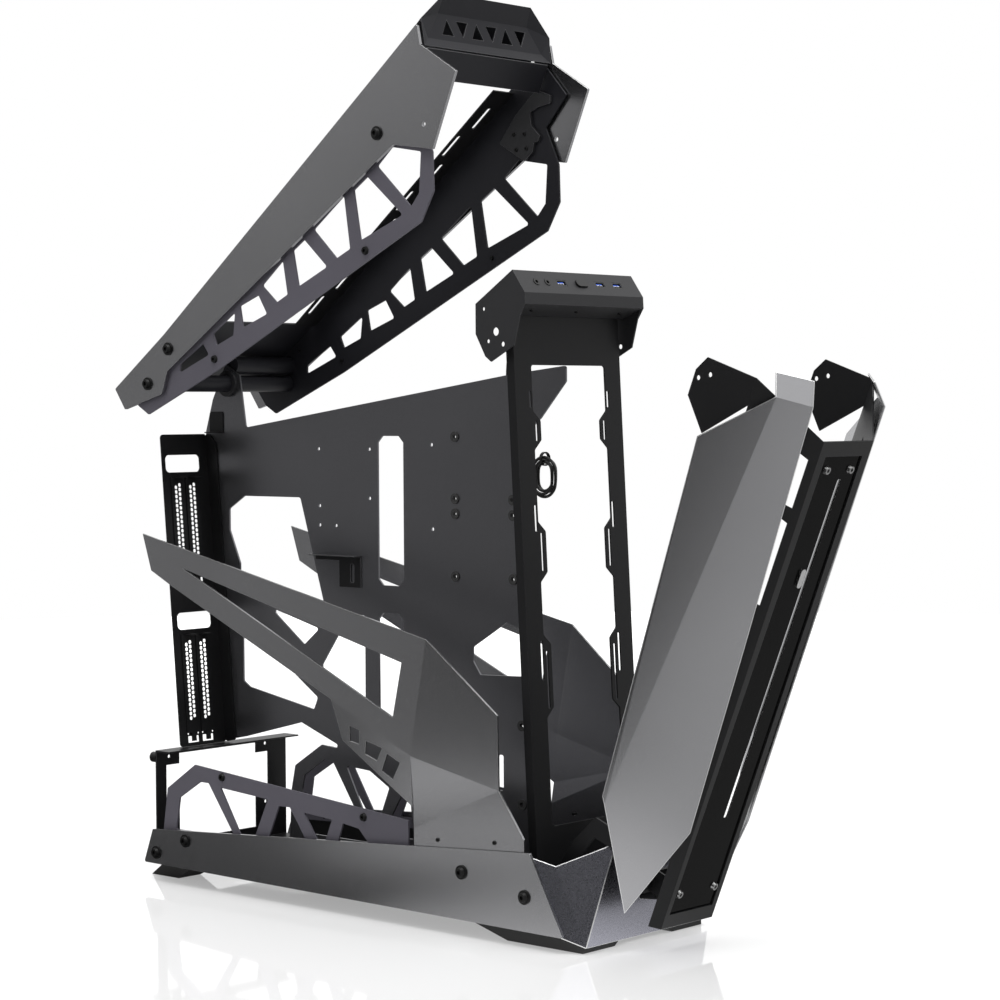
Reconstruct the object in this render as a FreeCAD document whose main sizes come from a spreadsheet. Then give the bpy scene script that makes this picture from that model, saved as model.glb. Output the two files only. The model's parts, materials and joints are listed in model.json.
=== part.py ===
"""Full-tower open-frame computer case: folded and cut sheet metal round an upright motherboard tray.

Frame: +Z up, front at -Y, the tray stands on the plane X = 0. Left pieces lie at -X.
The top arm hinges on a tube at the rear top and the front frame on a rod low at the front.
"""
import FreeCAD
import Part

import math
import os

from FreeCAD import Placement, Rotation, Vector

SIZES = {
    # sheet thicknesses
    "tray_sheet": 2.0,
    "tower_sheet": 1.6,
    "frame_sheet": 1.6,
    "truss_sheet": 2.0,
    "arm_sheet": 3.0,
    "skirt_sheet": 3.0,
    "pan_sheet": 1.6,
    "wing_sheet": 2.0,
    "nose_sheet": 2.0,
    "cap_sheet": 1.6,
    "plate_sheet": 1.2,
    "rail_sheet": 1.6,
    "hook_sheet": 3.0,
    "yoke_sheet": 2.4,
    # gaps between neighbouring layers
    "ear_gap": 1.0,
    "spacer_gap": 2.0,
    "seat_gap": 0.3,
    "bolt_clearance": 0.2,
    "tube_clearance": 0.3,
    # half widths
    "tower_half": 77.0,
    "tower_opening_half": 53.5,
    "cover_half": 86.6,
    "skirt_half": 104.0,
    "wing_half": 107.5,
    "psu_half": 93.3,
    "face_half": 38.0,
    "face_window_half": 28.0,
    "tray_face": 2.7,
    "front_foot_half": 88.0,
    "bracket_height": 344.0,
    # the base's middle lies this far behind the middle of the opened case
    "base_back": 99.3,
    # places of the hinges
    "hinge_back": 266.2,
    "hinge_height": 521.9,
    "stop_drop": 52.9,
    "pivot_front": 246.0,
    "pivot_height": 47.0,
    "arm_lift": 38.0,
    "front_lean": 22.0,
    "slot_lean": 4.84,
    "tower_lean": 3.14,
    # round pieces
    "hinge_tube_radius": 8.8,
    "collar_radius": 14.0,
    "collar_width": 3.6,
    "cross_tube_radius": 9.3,
    "pivot_rod_radius": 4.0,
    "bolt_radius": 2.0,
    "bolt_head_radius": 4.2,
    "bolt_head_height": 2.4,
    "panel_head_radius": 5.0,
    "panel_head_height": 3.0,
    "panel_washer_radius": 6.7,
    "panel_washer_sheet": 1.4,
    "screw_radius": 1.2,
    "screw_head_radius": 2.2,
    "screw_head_height": 1.2,
    "cable_radius": 1.5,
    "coil_reach": 17.0,
    "coil_half": 8.0,
    "coil_thickness": 5.0,
    "tie_clearance": 0.6,
    # base
    "foot_height": 22.0,
    "foot_bottom_half": 76.5,
    "rear_foot_width": 30.0,
    "psu_pitch_wide": 138.0,
    "psu_pitch_high": 64.0,
    "psu_hole_top": 128.0,
    "psu_rim": 8.0,
    "psu_middle": -6.5,
    "psu_wall": 280.0,
    # slot plate
    "slot_pitch": 20.32,
    "slot_cover_width": 18.4,
    "slot_cover_length": 114.0,
    "mesh_hole": 4.2,
    "mesh_pitch": 4.9,
    "mesh_web": 0.9,
    # front panel
    "port_depth": 12.0,
    "usb_width": 13.0,
    "usb_height": 6.0,
    "jack_radius": 3.6,
    "button_width": 17.0,
    "button_height": 8.0,
    "port_clearance": 0.3,
    "board_sheet": 1.6,
    # arm and front frame
    "fan_rail_width": 30.0,
    "rail_slot_length": 30.0,
    "rail_slot_width": 5.0,
    "rail_slot_pitch": 42.0,
    "rail_lift": 22.0,
    "face_depth": 108.5,
    "fold_depth": 57.0,
    "wing_offset": 5.0,
    "yoke_half": 64.4,
    "yoke_arm_half": 34.4,
    "yoke_ahead": 80.0,
    "stud_height": 2.2,
}


class Length:
    """A length as a number and as the sheet expression that gives the same number."""

    def __init__(self, value, text):
        self.value = float(value)
        self.text = text

    def __float__(self):
        return self.value

    def _join(self, other, sign, value):
        text = other.text if isinstance(other, Length) else str(other)
        return Length(value, f"({self.text} {sign} {text})")

    def __add__(self, other):
        return self._join(other, "+", self.value + float(other))

    def __sub__(self, other):
        return self._join(other, "-", self.value - float(other))

    def __mul__(self, factor):
        return self._join(factor, "*", self.value * float(factor))

    def __neg__(self):
        return Length(-self.value, f"(-{self.text})")


doc = FreeCAD.newDocument("computer_case")
sheet = doc.addObject("Spreadsheet::Sheet", "sizes")
for row, (word, number) in enumerate(SIZES.items(), start=1):
    sheet.set(f"A{row}", word)
    sheet.set(f"B{row}", str(number))
    sheet.setAlias(f"B{row}", word)
doc.recompute()


class Sizes:
    """Gives every cell of the sheet as a Length under its alias."""

    def __getattr__(self, word):
        return Length(sheet.get(word), f"sizes.{word}")


S = Sizes()
ZERO = Length(0.0, "0")
NODES = []

# Layers across the width, from the middle outwards, as the outer face of each sheet.
EAR_OUTER = S.cover_half
FRONT_EAR_OUTER = EAR_OUTER + S.ear_gap + S.frame_sheet
ARM_TRUSS_INNER = FRONT_EAR_OUTER + S.ear_gap
ARM_TRUSS_OUTER = ARM_TRUSS_INNER + S.truss_sheet
ARM_PLATE_OUTER = ARM_TRUSS_OUTER + S.spacer_gap + S.arm_sheet
SKIRT_INNER = S.skirt_half - S.skirt_sheet
PAN_OUTER = SKIRT_INNER - S.wing_sheet
PAN_INNER = PAN_OUTER - S.pan_sheet
TRAY_OUTER = S.tray_face + S.tray_sheet


def tilted(y, z, angle):
    """The frame of a group that leans by this angle about +X from a point given in the base's frame."""
    return BASE_FRAME.multiply(Placement(Vector(0, y, z), Rotation(Vector(1, 0, 0), angle)))


# Outlines count y from the base's middle. The tilted groups have frames of their own.
BASE_FRAME = Placement(Vector(0, float(S.base_back), 0), Rotation())
ARM_FRAME = tilted(float(S.hinge_back), float(S.hinge_height), -float(S.arm_lift))
FRONT_FRAME = tilted(-float(S.pivot_front), float(S.pivot_height), float(S.front_lean))
SLOT_FRAME = tilted(274.0, 128.0, -float(S.slot_lean))
TOWER_FRAME = tilted(-237.0, 105.0, -float(S.tower_lean))


def forward(points):
    """Outline points given as (forward, up) in a tilted frame, as (y, z) there."""
    return [(-ahead, up) for ahead, up in points]


class Poly:
    """A closed outline of straight edges with one corner radius."""

    def __init__(self, points, radius=0.0):
        self.points = [flat(point) for point in points]
        self.radius = radius

    def edges(self):
        count = len(self.points)
        starts, middles, ends = [], [], []
        for index, corner in enumerate(self.points):
            start, middle, end = rounding(self.points[index - 1], corner,
                                          self.points[(index + 1) % count], self.radius)
            starts.append(start)
            middles.append(middle)
            ends.append(end)
        made = []
        for index in range(count):
            if middles[index] is not None:
                made.append(Part.Arc(starts[index], middles[index], ends[index]))
            made.append(Part.LineSegment(ends[index], starts[(index + 1) % count]))
        return made


def rounding(previous, corner, following, radius=None):
    """Start, middle and end of the tangent arc at a corner, as large as 0.45 of the shorter run allows."""
    back = previous - corner
    ahead = following - corner
    reach = 0.45 * min(back.Length, ahead.Length)
    half = back.getAngle(ahead) / 2
    back.normalize()
    ahead.normalize()
    if radius is not None:
        reach = min(reach, radius / math.tan(half))
    if reach < 0.01:
        return corner, None, corner
    bow = reach * math.tan(half)
    towards = back + ahead
    towards.normalize()
    middle = corner + towards * (bow / math.sin(half) - bow)
    return corner + back * reach, middle, corner + ahead * reach


class Round:
    """A round hole or outline."""

    def __init__(self, centre, radius):
        self.centre = centre
        self.radius = float(radius)

    def edges(self):
        return [Part.Circle(flat(self.centre), Vector(0, 0, 1), self.radius)]


def flat(point):
    return Vector(float(point[0]), float(point[1]), 0)


def rectangle(left, low, right, high, radius=0.0):
    return Poly([(left, low), (right, low), (right, high), (left, high)], radius)


def chamfered(left, low, right, high, cut):
    return Poly([(left + cut, low), (right - cut, low), (right, low + cut), (right, high - cut),
                 (right - cut, high), (left + cut, high), (left, high - cut), (left, low + cut)])


class Piece:
    """One PartDesign body whose pads and pockets are sketched on its own origin planes."""

    PLANES = {"XY": ("XY_Plane", 1), "XZ": ("XZ_Plane", -1), "YZ": ("YZ_Plane", 1)}

    def __init__(self, name, placement=None):
        self.body = doc.addObject("PartDesign::Body", name)
        self.body.Label = name
        self.body.Placement = placement or BASE_FRAME
        NODES.append(self.body)

    def sketch(self, plane, loops, start):
        role, sign = self.PLANES[plane]
        support = [part for part in self.body.Origin.OriginFeatures if part.Role == role][0]
        sketch = self.body.newObject("Sketcher::SketchObject", f"{self.body.Name}_outline")
        sketch.AttachmentSupport = (support, [""])
        sketch.MapMode = "FlatFace"
        place = start if sign > 0 else -start
        sketch.setExpression("AttachmentOffset.Base.z", place.text)
        for loop in loops:
            sketch.addGeometry(loop.edges(), False)
        return sketch

    def pad(self, plane, loops, start, length):
        """Pads from start: towards +Z or +X, and towards -Y from the XZ plane."""
        pad = self.body.newObject("PartDesign::Pad", f"{self.body.Name}_pad")
        pad.Profile = self.sketch(plane, loops, start)
        pad.setExpression("Length", length.text)
        return self.finish(pad)

    def pocket(self, plane, loops, start=ZERO):
        """Cuts the loops right through, both ways from start."""
        pocket = self.body.newObject("PartDesign::Pocket", f"{self.body.Name}_cut")
        pocket.Profile = self.sketch(plane, loops, start)
        pocket.Type = "ThroughAll"
        pocket.Midplane = True
        return self.finish(pocket)

    def loft(self, plane, low_loop, high_loop, low, high):
        loft = self.body.newObject("PartDesign::AdditiveLoft", f"{self.body.Name}_loft")
        loft.Profile = self.sketch(plane, [low_loop], low)
        loft.Sections = [self.sketch(plane, [high_loop], high)]
        loft.Ruled = True
        return self.finish(loft)

    def finish(self, feature):
        self.body.Tip = feature
        return self


def side_plate(name, loops, outer, thickness, placement=None):
    """A flat plate on the left side, its outer face at outer, and its mirror on the right."""
    plate = Piece(f"left_{name}", placement)
    plate.pad("YZ", loops, -outer, thickness)
    return mirrored(plate.body, f"right_{name}")


def mirrored(source, name):
    mirror = doc.addObject("Part::Mirroring", name)
    mirror.Label = name
    mirror.Source = source
    mirror.Base = Vector(0, 0, 0)
    mirror.Normal = Vector(1, 0, 0)
    NODES.append(mirror)
    return mirror


def feature(name, shape, placement=None):
    part = doc.addObject("Part::Feature", name)
    part.Label = name
    part.Shape = shape
    part.Placement = placement or BASE_FRAME
    NODES.append(part)
    return part


def folded(vertices, facets, thickness):
    """A sheet folded along the edges that its facets share, thickness deep behind the facets.

    Facets list vertices anticlockwise as seen from outside. Each inner vertex lies thickness
    behind every facet that meets there.
    """
    outer = [Vector(*vertex) for vertex in vertices]
    normals = [facet_normal([outer[number] for number in facet]) for facet in facets]
    inner = []
    for number, vertex in enumerate(outer):
        touching = [normals[index] for index, facet in enumerate(facets) if number in facet]
        inner.append(vertex - corner_step(touching) * thickness)
    faces = []
    borders = {}
    for facet in facets:
        faces += skin([outer[number] for number in facet])
        faces += skin([inner[number] for number in reversed(facet)])
        for index in range(len(facet)):
            edge = (facet[index - 1], facet[index])
            if edge[::-1] in borders:
                del borders[edge[::-1]]
            else:
                borders[edge] = True
    for first, second in borders:
        faces += skin([outer[second], outer[first], inner[first], inner[second]])
    shell = Part.Shell(faces)
    shell.sewShape()
    solid = Part.Solid(shell)
    if solid.Volume < 0:
        solid.reverse()
    return solid


def facet_normal(points):
    normal = Vector(0, 0, 0)
    for index in range(1, len(points) - 1):
        normal += (points[index] - points[0]).cross(points[index + 1] - points[0])
    return normal.normalize()


def corner_step(normals):
    """The shortest step that leads one unit off every plane with these normals."""
    best = None
    for one in range(len(normals)):
        for two in range(one + 1, len(normals)):
            for three in range(two + 1, len(normals)):
                trio = (normals[one], normals[two], normals[three])
                span = abs(trio[0].dot(trio[1].cross(trio[2])))
                if span > 0.05 and (best is None or span > best[0]):
                    best = (span, trio)
    if best is not None:
        one, two, three = best[1]
        sum_of_crosses = two.cross(three) + three.cross(one) + one.cross(two)
        return sum_of_crosses * (1 / one.dot(two.cross(three)))
    pairs = [(one.dot(two), one, two) for one in normals for two in normals]
    cosine, one, two = min(pairs, key=lambda pair: pair[0])
    return (one + two) * (1 / (1 + cosine))


def skin(points):
    """The face of a planar polygon, or its fan of triangles where the points leave the plane."""
    normal = facet_normal(points)
    if max(abs((point - points[0]).dot(normal)) for point in points) < 1e-5:
        return [Part.Face(Part.makePolygon(points + points[:1]))]
    fan = []
    for index in range(1, len(points) - 1):
        corners = [points[0], points[index], points[index + 1]]
        fan.append(Part.Face(Part.makePolygon(corners + corners[:1])))
    return fan


def prism(points, reach):
    """A prism through a planar polygon of space points, reach to both sides of it."""
    spots = [Vector(*point) for point in points]
    face = Part.Face(Part.makePolygon(spots + spots[:1]))
    normal = face.normalAt(0, 0)
    moved = face.translated(normal * -float(reach))
    return moved.extrude(normal * 2 * float(reach))


def prism_across(points, reach=150.0):
    """A prism along X through a polygon of (y, z) points, for cuts in side sheets."""
    return prism([(0, y, z) for y, z in points], reach)


class Fastener:
    """One kind of socket-head screw: its shank, its head and the washer under the head."""

    def __init__(self, shank, head_radius, head_height, washer_radius=ZERO, washer_sheet=ZERO):
        self.shank = float(shank)
        self.head_radius = float(head_radius)
        self.head_height = float(head_height)
        self.washer_radius = float(washer_radius)
        self.washer_sheet = float(washer_sheet)

    def head(self, seat, out):
        """Washer, tapered head and hexagonal socket, standing on the seat point."""
        base = seat + out * self.washer_sheet
        top = base + out * self.head_height
        head = Part.makeCone(self.head_radius, self.head_radius * 0.8, self.head_height, base, out)
        head = head.cut(hexagon(top, out, self.head_radius * 0.45).extrude(out * -0.7 * self.head_height))
        if self.washer_sheet:
            head = head.fuse(Part.makeCylinder(self.washer_radius, self.washer_sheet, seat, out))
        return head


PANEL_BOLT = Fastener(S.bolt_radius, S.panel_head_radius, S.panel_head_height,
                      S.panel_washer_radius, S.panel_washer_sheet)
TRUSS_BOLT = Fastener(S.bolt_radius, S.bolt_head_radius, S.bolt_head_height)
SMALL_SCREW = Fastener(S.screw_radius, S.screw_head_radius, S.screw_head_height)


def hexagon(centre, out, reach):
    """A six-sided face round a centre, its corners at this reach."""
    side = out.cross(Vector(0, 1, 0))
    if side.Length < 0.1:
        side = out.cross(Vector(1, 0, 0))
    side.normalize()
    up = out.cross(side)
    corners = []
    for number in range(6):
        turn = math.radians(60 * number)
        corners.append(centre + side * (reach * math.cos(turn)) + up * (reach * math.sin(turn)))
    return Part.Face(Part.makePolygon(corners + corners[:1]))


def bolt(kind, seat, direction, length, collar=None):
    """A screw: head outside the seat point, shank running in along -direction, spacer round it."""
    seat = Vector(*seat)
    out = Vector(*direction).normalize()
    stem = Part.makeCylinder(kind.shank, length, seat - out * length, out)
    shape = kind.head(seat, out).fuse(stem)
    if collar is not None:
        near, far = collar
        ring = Part.makeCylinder(kind.shank * 2, far - near, seat - out * far, out)
        shape = shape.fuse(ring)
    return shape.removeSplitter()


def bolts(name, places, placement=None):
    """A group of screws, each its own solid, in one node."""
    return feature(name, Part.makeCompound([bolt(*place) for place in places]), placement)


def both_sides(kind, y, z, outer, length, collar=None):
    """The two screws of a mirrored pair, heads outwards."""
    return [(kind, (side * float(outer), y, z), (side, 0, 0), length, collar) for side in (-1, 1)]


def hole_radius(kind):
    return kind.shank + float(S.bolt_clearance)


def bolt_hole(y, z, kind=TRUSS_BOLT):
    return Round((y, z), hole_radius(kind))


# Base

SKIRT_TOP_REAR = (273, 55)
SKIRT_TOP_FRONT = (-252, 88)
SKIRT_BOLTS = [(267, 31), (221, 48), (-168, 61)]
BASE_TRUSS_BOLTS = [(171, 118), (-33, 98)]
WING_BOLTS = [(-135, 87.5), (-207, 92.5)]
PIVOT = (-float(S.pivot_front), float(S.pivot_height))
FOOT_TOP = S.foot_height
PAN_TOP = FOOT_TOP + S.pan_sheet


def base_pan():
    floor_low = float(FOOT_TOP)
    wall = Poly([(262, floor_low), (262, 51), (-243, 82), (-276, floor_low)])
    rod_hole = Round(PIVOT, S.pivot_rod_radius + S.seat_gap)
    screw_holes = [bolt_hole(y, z) for y, z in SKIRT_BOLTS[1:]]
    pan = Piece("base_pan")
    pan.pad("YZ", [wall], -PAN_OUTER, PAN_OUTER * 2)
    inside = rectangle(-float(PAN_INNER), float(PAN_TOP), float(PAN_INNER), 120)
    pan.pocket("XZ", [inside])
    pan.pocket("YZ", [rod_hole] + screw_holes)
    slots = []
    for row in range(7):
        low = 104 + row * 14
        slots.append(rectangle(-62, low, 62, low + 9))
    pan.pocket("XY", slots)
    vent = Piece("base_vent")
    holes = [rectangle(-58 + 12 * column, 104 + 14 * row, -50 + 12 * column, 112 + 14 * row)
             for column in range(10) for row in range(7)]
    vent.pad("XY", [rectangle(-70, 98, 70, 206)] + holes, FOOT_TOP - S.plate_sheet, S.plate_sheet)


def skirts():
    outline = Poly([SKIRT_TOP_REAR, (287, 19), (-292, 15), SKIRT_TOP_FRONT], 2.0)
    holes = [bolt_hole(y, z) for y, z in SKIRT_BOLTS]
    rod = Round(PIVOT, S.bolt_radius + S.bolt_clearance)
    side_plate("skirt", [outline, rod] + holes, S.skirt_half, S.skirt_sheet)
    shank = float(S.skirt_half - PAN_INNER)
    places = []
    for y, z in SKIRT_BOLTS:
        depth = float(S.skirt_sheet) if (y, z) == SKIRT_BOLTS[0] else shank
        places += both_sides(PANEL_BOLT, y, z, S.skirt_half, depth)
    places += both_sides(PANEL_BOLT, *PIVOT, S.skirt_half, float(S.skirt_sheet))
    bolts("skirt_bolts", places)
    rod_half = SKIRT_INNER - S.seat_gap
    rod_piece = Piece("front_pivot_rod")
    rod_piece.pad("YZ", [Round(PIVOT, S.pivot_rod_radius)], -rod_half, rod_half * 2)


def base_trusses():
    outline = Poly([(265, 42), (256, 99), (213, 127), (-93, 101), (-93, 58)])
    windows = [
        [(205, 110), (237, 91), (243, 57), (153, 59), (192, 110)],
        [(174, 107), (142, 58), (124, 59), (103, 102)],
        [(87, 97), (104, 60), (45, 63), (71, 97)],
        [(51, 94), (30, 65), (22, 66), (11, 91)],
        [(-4, 89), (4, 67), (-44, 69), (-26, 86)],
    ]
    holes = [bolt_hole(y, z) for y, z in BASE_TRUSS_BOLTS + SKIRT_BOLTS[1:2]]
    side_plate("base_truss", [outline] + [Poly(window, 1.0) for window in windows] + holes,
               PAN_INNER, S.truss_sheet)
    shank = float(S.truss_sheet) + 3.0
    places = []
    for y, z in BASE_TRUSS_BOLTS:
        places += both_sides(TRUSS_BOLT, y, z, PAN_INNER, shank)
    bolts("base_truss_bolts", places)


def feet():
    half = float(S.foot_bottom_half)
    width = float(S.rear_foot_width)
    foot = Piece("left_rear_foot")
    bottom = rectangle(-half, 264, -half + width, 307)
    top = rectangle(-float(PAN_INNER), 215, -half + width, 260)
    foot.loft("XY", bottom, top, ZERO, FOOT_TOP)
    mirrored(foot.body, "right_rear_foot")
    front = Piece("front_foot")
    profile = Poly([(-211, 0), (-302, 0), (-302, 8), (-268, float(FOOT_TOP)),
                    (-162, float(FOOT_TOP)), (-168, 12)])
    front.pad("YZ", [profile], -S.front_foot_half, S.front_foot_half * 2)
    front.pocket("XZ", [Poly([(-44, -1), (-30, 9), (30, 9), (44, -1)])])


def nose():
    """The folded light plate over the front foot, with its two cheeks swept back to the skirts."""
    inner = float(SKIRT_INNER) - float(S.seat_gap)
    vertices = []
    for side in (-1, 1):
        vertices += [(side * 90.5, -308, 6), (side * 56, -315, 98), (side * 91, -273, 77),
                     (side * inner, -252, 84), (side * inner, -287, 14), (side * 40, -308.6, 14)]
    facets = [
        [0, 5, 11, 6, 7, 1],
        [4, 0, 2, 3], [0, 1, 2],
        [6, 10, 9, 8], [7, 6, 8],
    ]
    shape = folded(vertices, facets, float(S.nose_sheet))
    notch = [(-19, -312, 78), (8, -312, 75), (12, -312, 36), (-16, -312, 41)]
    shape = shape.cut(prism(notch, 8))
    feature("nose_plate", shape)


def psu_frame():
    half = float(S.psu_half)
    middle = float(S.psu_middle)
    reach = float(S.psu_pitch_wide) / 2
    high = float(S.psu_hole_top)
    low = high - float(S.psu_pitch_high)
    base = float(PAN_TOP)
    top = S.psu_hole_top + S.psu_rim
    tab = 9.0
    sides = reach + 4.0
    window = Poly([
        (middle - sides + 2 * tab, base + 14), (middle + sides - 2 * tab, base + 14),
        (middle + sides - 2 * tab, low - tab), (middle + sides - 2 * tab, low + tab),
        (middle + sides, low + tab), (middle + sides, high - tab),
        (middle + sides - 2 * tab, high - tab), (middle + sides - 2 * tab, high + 2),
        (middle - sides + 2 * tab, high + 2), (middle - sides + 2 * tab, high - tab),
        (middle - sides, high - tab), (middle - sides, low + tab),
        (middle - sides + 2 * tab, low + tab), (middle - sides + 2 * tab, low - tab),
    ])
    holes = [Round((middle + side * reach, level), 1.9) for side in (-1, 1) for level in (low, high)]
    frame = Piece("psu_frame")
    wall = float(S.psu_wall)
    frame.pad("XZ", [rectangle(-half, base, half, float(top)), window] + holes, S.psu_wall, S.tower_sheet)
    frame.pad("XY", [rectangle(-half, 258, half, wall)], top - S.tower_sheet, S.tower_sheet)
    frame.pad("XY", [rectangle(-half, 256, half, wall)], PAN_TOP, S.tower_sheet)
    grips = []
    for side in (-1, 1):
        seat = Vector(side * (half - 5), wall, high)
        grips.append(Part.makeCylinder(5.5, 9, seat, Vector(0, 1, 0)))
    feature("psu_thumbscrews", Part.makeCompound(grips))


# Tray and rear

def mast(ahead, up):
    """A point at the tray's rear top, placed from the hinge axis."""
    return float(S.hinge_back) + ahead, float(S.hinge_height) + up


def tray():
    outline = Poly([
        (275, 138), mast(37.3, -51.9), mast(25.8, -16.9), mast(4.8, 21.1), mast(-17.2, 8.1),
        mast(-26.2, -46.9), (-141, 527),
        (-208, 534), (-208, 519), (-176, 484), (-158, 470), (-157.5, 310), (-171, float(PAN_TOP)),
        (178, float(PAN_TOP)), (174, 94), (168, 120), (128, 145), (90, 142), (158, 166), (245, 144),
    ], 2.5)
    windows = [
        chamfered(7, 315, 43, 466.5, 6.5),
        chamfered(7, 151, 43, 287, 6.5),
        Poly([(63, 283), (86, 283), (126, 229), (126, 212), (63, 178)], 2),
        Poly([(205, 285), (130, 266), (153, 248)], 2),
        Poly([(243, 402), (157, 402), (120, 284), (251, 318), (251, 330), (267, 365), (267, 388)], 3),
        Poly([(247, 277), (247, 204), (237, 198), (139, 181), (133, 194), (167, 216)], 3),
        Poly([(-86.5, 259.5), (-131, 286), (-150.5, 280), (-153, 234.5), (-96, 232.5), (-86.5, 245.5)], 2),
        rectangle(-126, 121, -119, 156, 2),
        Poly([(-154, 152), (-158.8, 152), (-161, 117.5), (-156.2, 117.5)], 2),
        Poly([(160, 50), (158, 96), (154, 111), (124, 130), (111, 128), (57, 50)], 2),
        Poly([(92, 126), (58, 124), (30, 109), (50, 62), (57, 62)], 2),
        Poly([(13, 103), (0, 96), (-4, 60), (40, 60)], 2),
    ]
    standoffs = [(-32, 458), (-33, 374), (55, 403), (128, 394), (128, 374), (104, 374),
                 (129, 453), (55, 453)]
    holes = [Round(place, 1.9) for place in standoffs]
    grommets = [Round(place, 4.0) for place in GROMMETS]
    pivot = Round((float(S.hinge_back), float(S.hinge_height)),
                  S.hinge_tube_radius + S.tube_clearance)
    plate = Piece("motherboard_tray")
    plate.pad("YZ", [outline, pivot] + windows + holes + grommets, S.tray_face, S.tray_sheet)


GROMMETS = [(-64, 466), (-64, 405), (-64, 390), (-64, 328), (-140, 405), (-140, 390), (-140, 328),
            (-150.5, 186.5), (-150.3, 109.5)]


def tray_fittings():
    """Rubber grommets in the tray, its keyhole bracket, the hinge collar and the stop bracket."""
    near = float(S.tray_face)
    far = float(TRAY_OUTER)
    rings = []
    for y, z in GROMMETS:
        profile = Part.makePolygon([
            Vector(near - 1.2, y, z + 2.4), Vector(far + 1.2, y, z + 2.4),
            Vector(far + 1.2, y, z + 5.2), Vector(far, y, z + 5.2), Vector(far, y, z + 3.9),
            Vector(near, y, z + 3.9), Vector(near, y, z + 5.2), Vector(near - 1.2, y, z + 5.2),
            Vector(near - 1.2, y, z + 2.4)])
        rings.append(Part.Face(profile).revolve(Vector(0, y, z), Vector(1, 0, 0), 360))
    feature("tray_grommets", Part.makeCompound(rings))

    bracket = Piece("tray_bracket")
    top = float(S.bracket_height)
    upright = Poly([(67, top - 33), (99, top - 33), (99, top - 6), (134, top - 6), (134, top), (67, top)])
    keyhole = rectangle(77, top - 28, 82, top - 9, 2)
    bracket.pad("YZ", [upright, keyhole], -S.plate_sheet + S.tray_face, S.plate_sheet)
    bracket.pad("XY", [rectangle(near - 11, 67, near, 134)], S.bracket_height - S.plate_sheet, S.plate_sheet)

    collar = Piece("hinge_collar")
    axis = (float(S.hinge_back), float(S.hinge_height))
    collar.pad("YZ", [Round(axis, S.collar_radius),
                      Round(axis, S.hinge_tube_radius + S.tube_clearance)],
               S.tray_face - S.collar_width, S.collar_width)

    stop = Piece("hinge_stop")
    stop.pad("YZ", [Poly([mast(29.8, -29.9), mast(8.8, -29.9), mast(8.8, -52.9), mast(29.8, -52.9)], 3)],
             S.tray_face - S.plate_sheet, S.plate_sheet)
    rear = float(S.hinge_back) + 29.8
    stop.pad("XY", [rectangle(near - 9, rear - 21, near, rear)], S.hinge_height - S.stop_drop, S.plate_sheet)


SLOT_LEFT = -62.5
SLOT_COLUMNS = (-43.5, -43.5 + float(S.slot_pitch))
COVER_FOOT = 16.0


def slot_level(z):
    """Height z of the upright frame, measured along the leaning rear plate."""
    return (z - 128.0) / math.cos(math.radians(float(S.slot_lean)))


def slot_plate():
    """The leaning rear plate with two handle windows, and a pair of perforated covers under each."""
    bottom = slot_level(float(S.psu_hole_top + S.psu_rim + S.seat_gap))
    top = slot_level(468)
    right = float(S.tray_face) - float(S.seat_gap)
    handles = [(slot_level(446), slot_level(427.5), -57.8, -9.9),
               (slot_level(278), slot_level(260), -55.7, -8.4)]
    plate = Piece("rear_slot_plate", SLOT_FRAME)
    loops = [Poly([(SLOT_LEFT, bottom), (right, bottom), (right, top), (SLOT_LEFT, top)], 4)]
    covers = []
    mesh_half = mesh_reach() + 1.5
    for high, low, left, side in handles:
        loops.append(rectangle(left, low, side, high, 5))
        cover_top = low - 5
        covers.append(cover_top)
        end = cover_top - float(S.slot_cover_length)
        for column in SLOT_COLUMNS:
            loops.append(rectangle(column - mesh_half, end + COVER_FOOT + 6, column + mesh_half,
                                   cover_top - 5, 1.5))
            loops.append(rectangle(column - 7.7, end - 1.5, column + 7.7, end + 5.5, 0.6))
            for side_step in (-7, 7):
                loops.append(Round((column + side_step, end + 8.3), 1.3))
    plate.pad("XZ", loops, S.plate_sheet, S.plate_sheet)
    flange = Poly([(0, bottom), (-16, bottom + 2), (-16, top - 12), (-6, top), (0, top)], 3)
    plate.pad("YZ", [flange], S.tray_face - S.seat_gap - S.plate_sheet, S.plate_sheet)
    number = 0
    for cover_top in covers:
        for column in SLOT_COLUMNS:
            number += 1
            slot_cover(f"slot_cover_{number}", column, cover_top)


def mesh_reach():
    """Half the width of a cover's two staggered columns of holes."""
    return float(S.mesh_hole) + float(S.mesh_web) / 2


def slot_cover(name, column, cover_top):
    """A strip behind its slot, with two staggered columns of six-sided holes and a bent top tab."""
    half = float(S.slot_cover_width) / 2
    end = cover_top - float(S.slot_cover_length)
    outline = Poly([
        (column - half, end + 9), (column - 3, end + 9), (column - 3, end), (column + 3, end),
        (column + 3, end + 9), (column + half, end + 9), (column + half, cover_top),
        (column - half, cover_top)])
    reach = float(S.mesh_hole) / 2
    pitch = float(S.mesh_pitch)
    step = reach + float(S.mesh_web) / 2
    rows = int((cover_top - end - COVER_FOOT - 14) / pitch)
    loops = [outline]
    for row in range(rows):
        for offset, rise in ((-step, 0), (step, pitch / 2)):
            level = end + COVER_FOOT + 8.5 + row * pitch + rise
            loops.append(hexagonal_hole(column + offset, level, reach))
    cover = Piece(name, SLOT_FRAME)
    cover.pad("XZ", loops, ZERO, S.plate_sheet)
    tab = rectangle(column - 5, -12, column + 5, 0)
    level = cover_top - float(S.plate_sheet)
    cover.pad("XY", [tab], Length(level, str(level)), S.plate_sheet)


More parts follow.
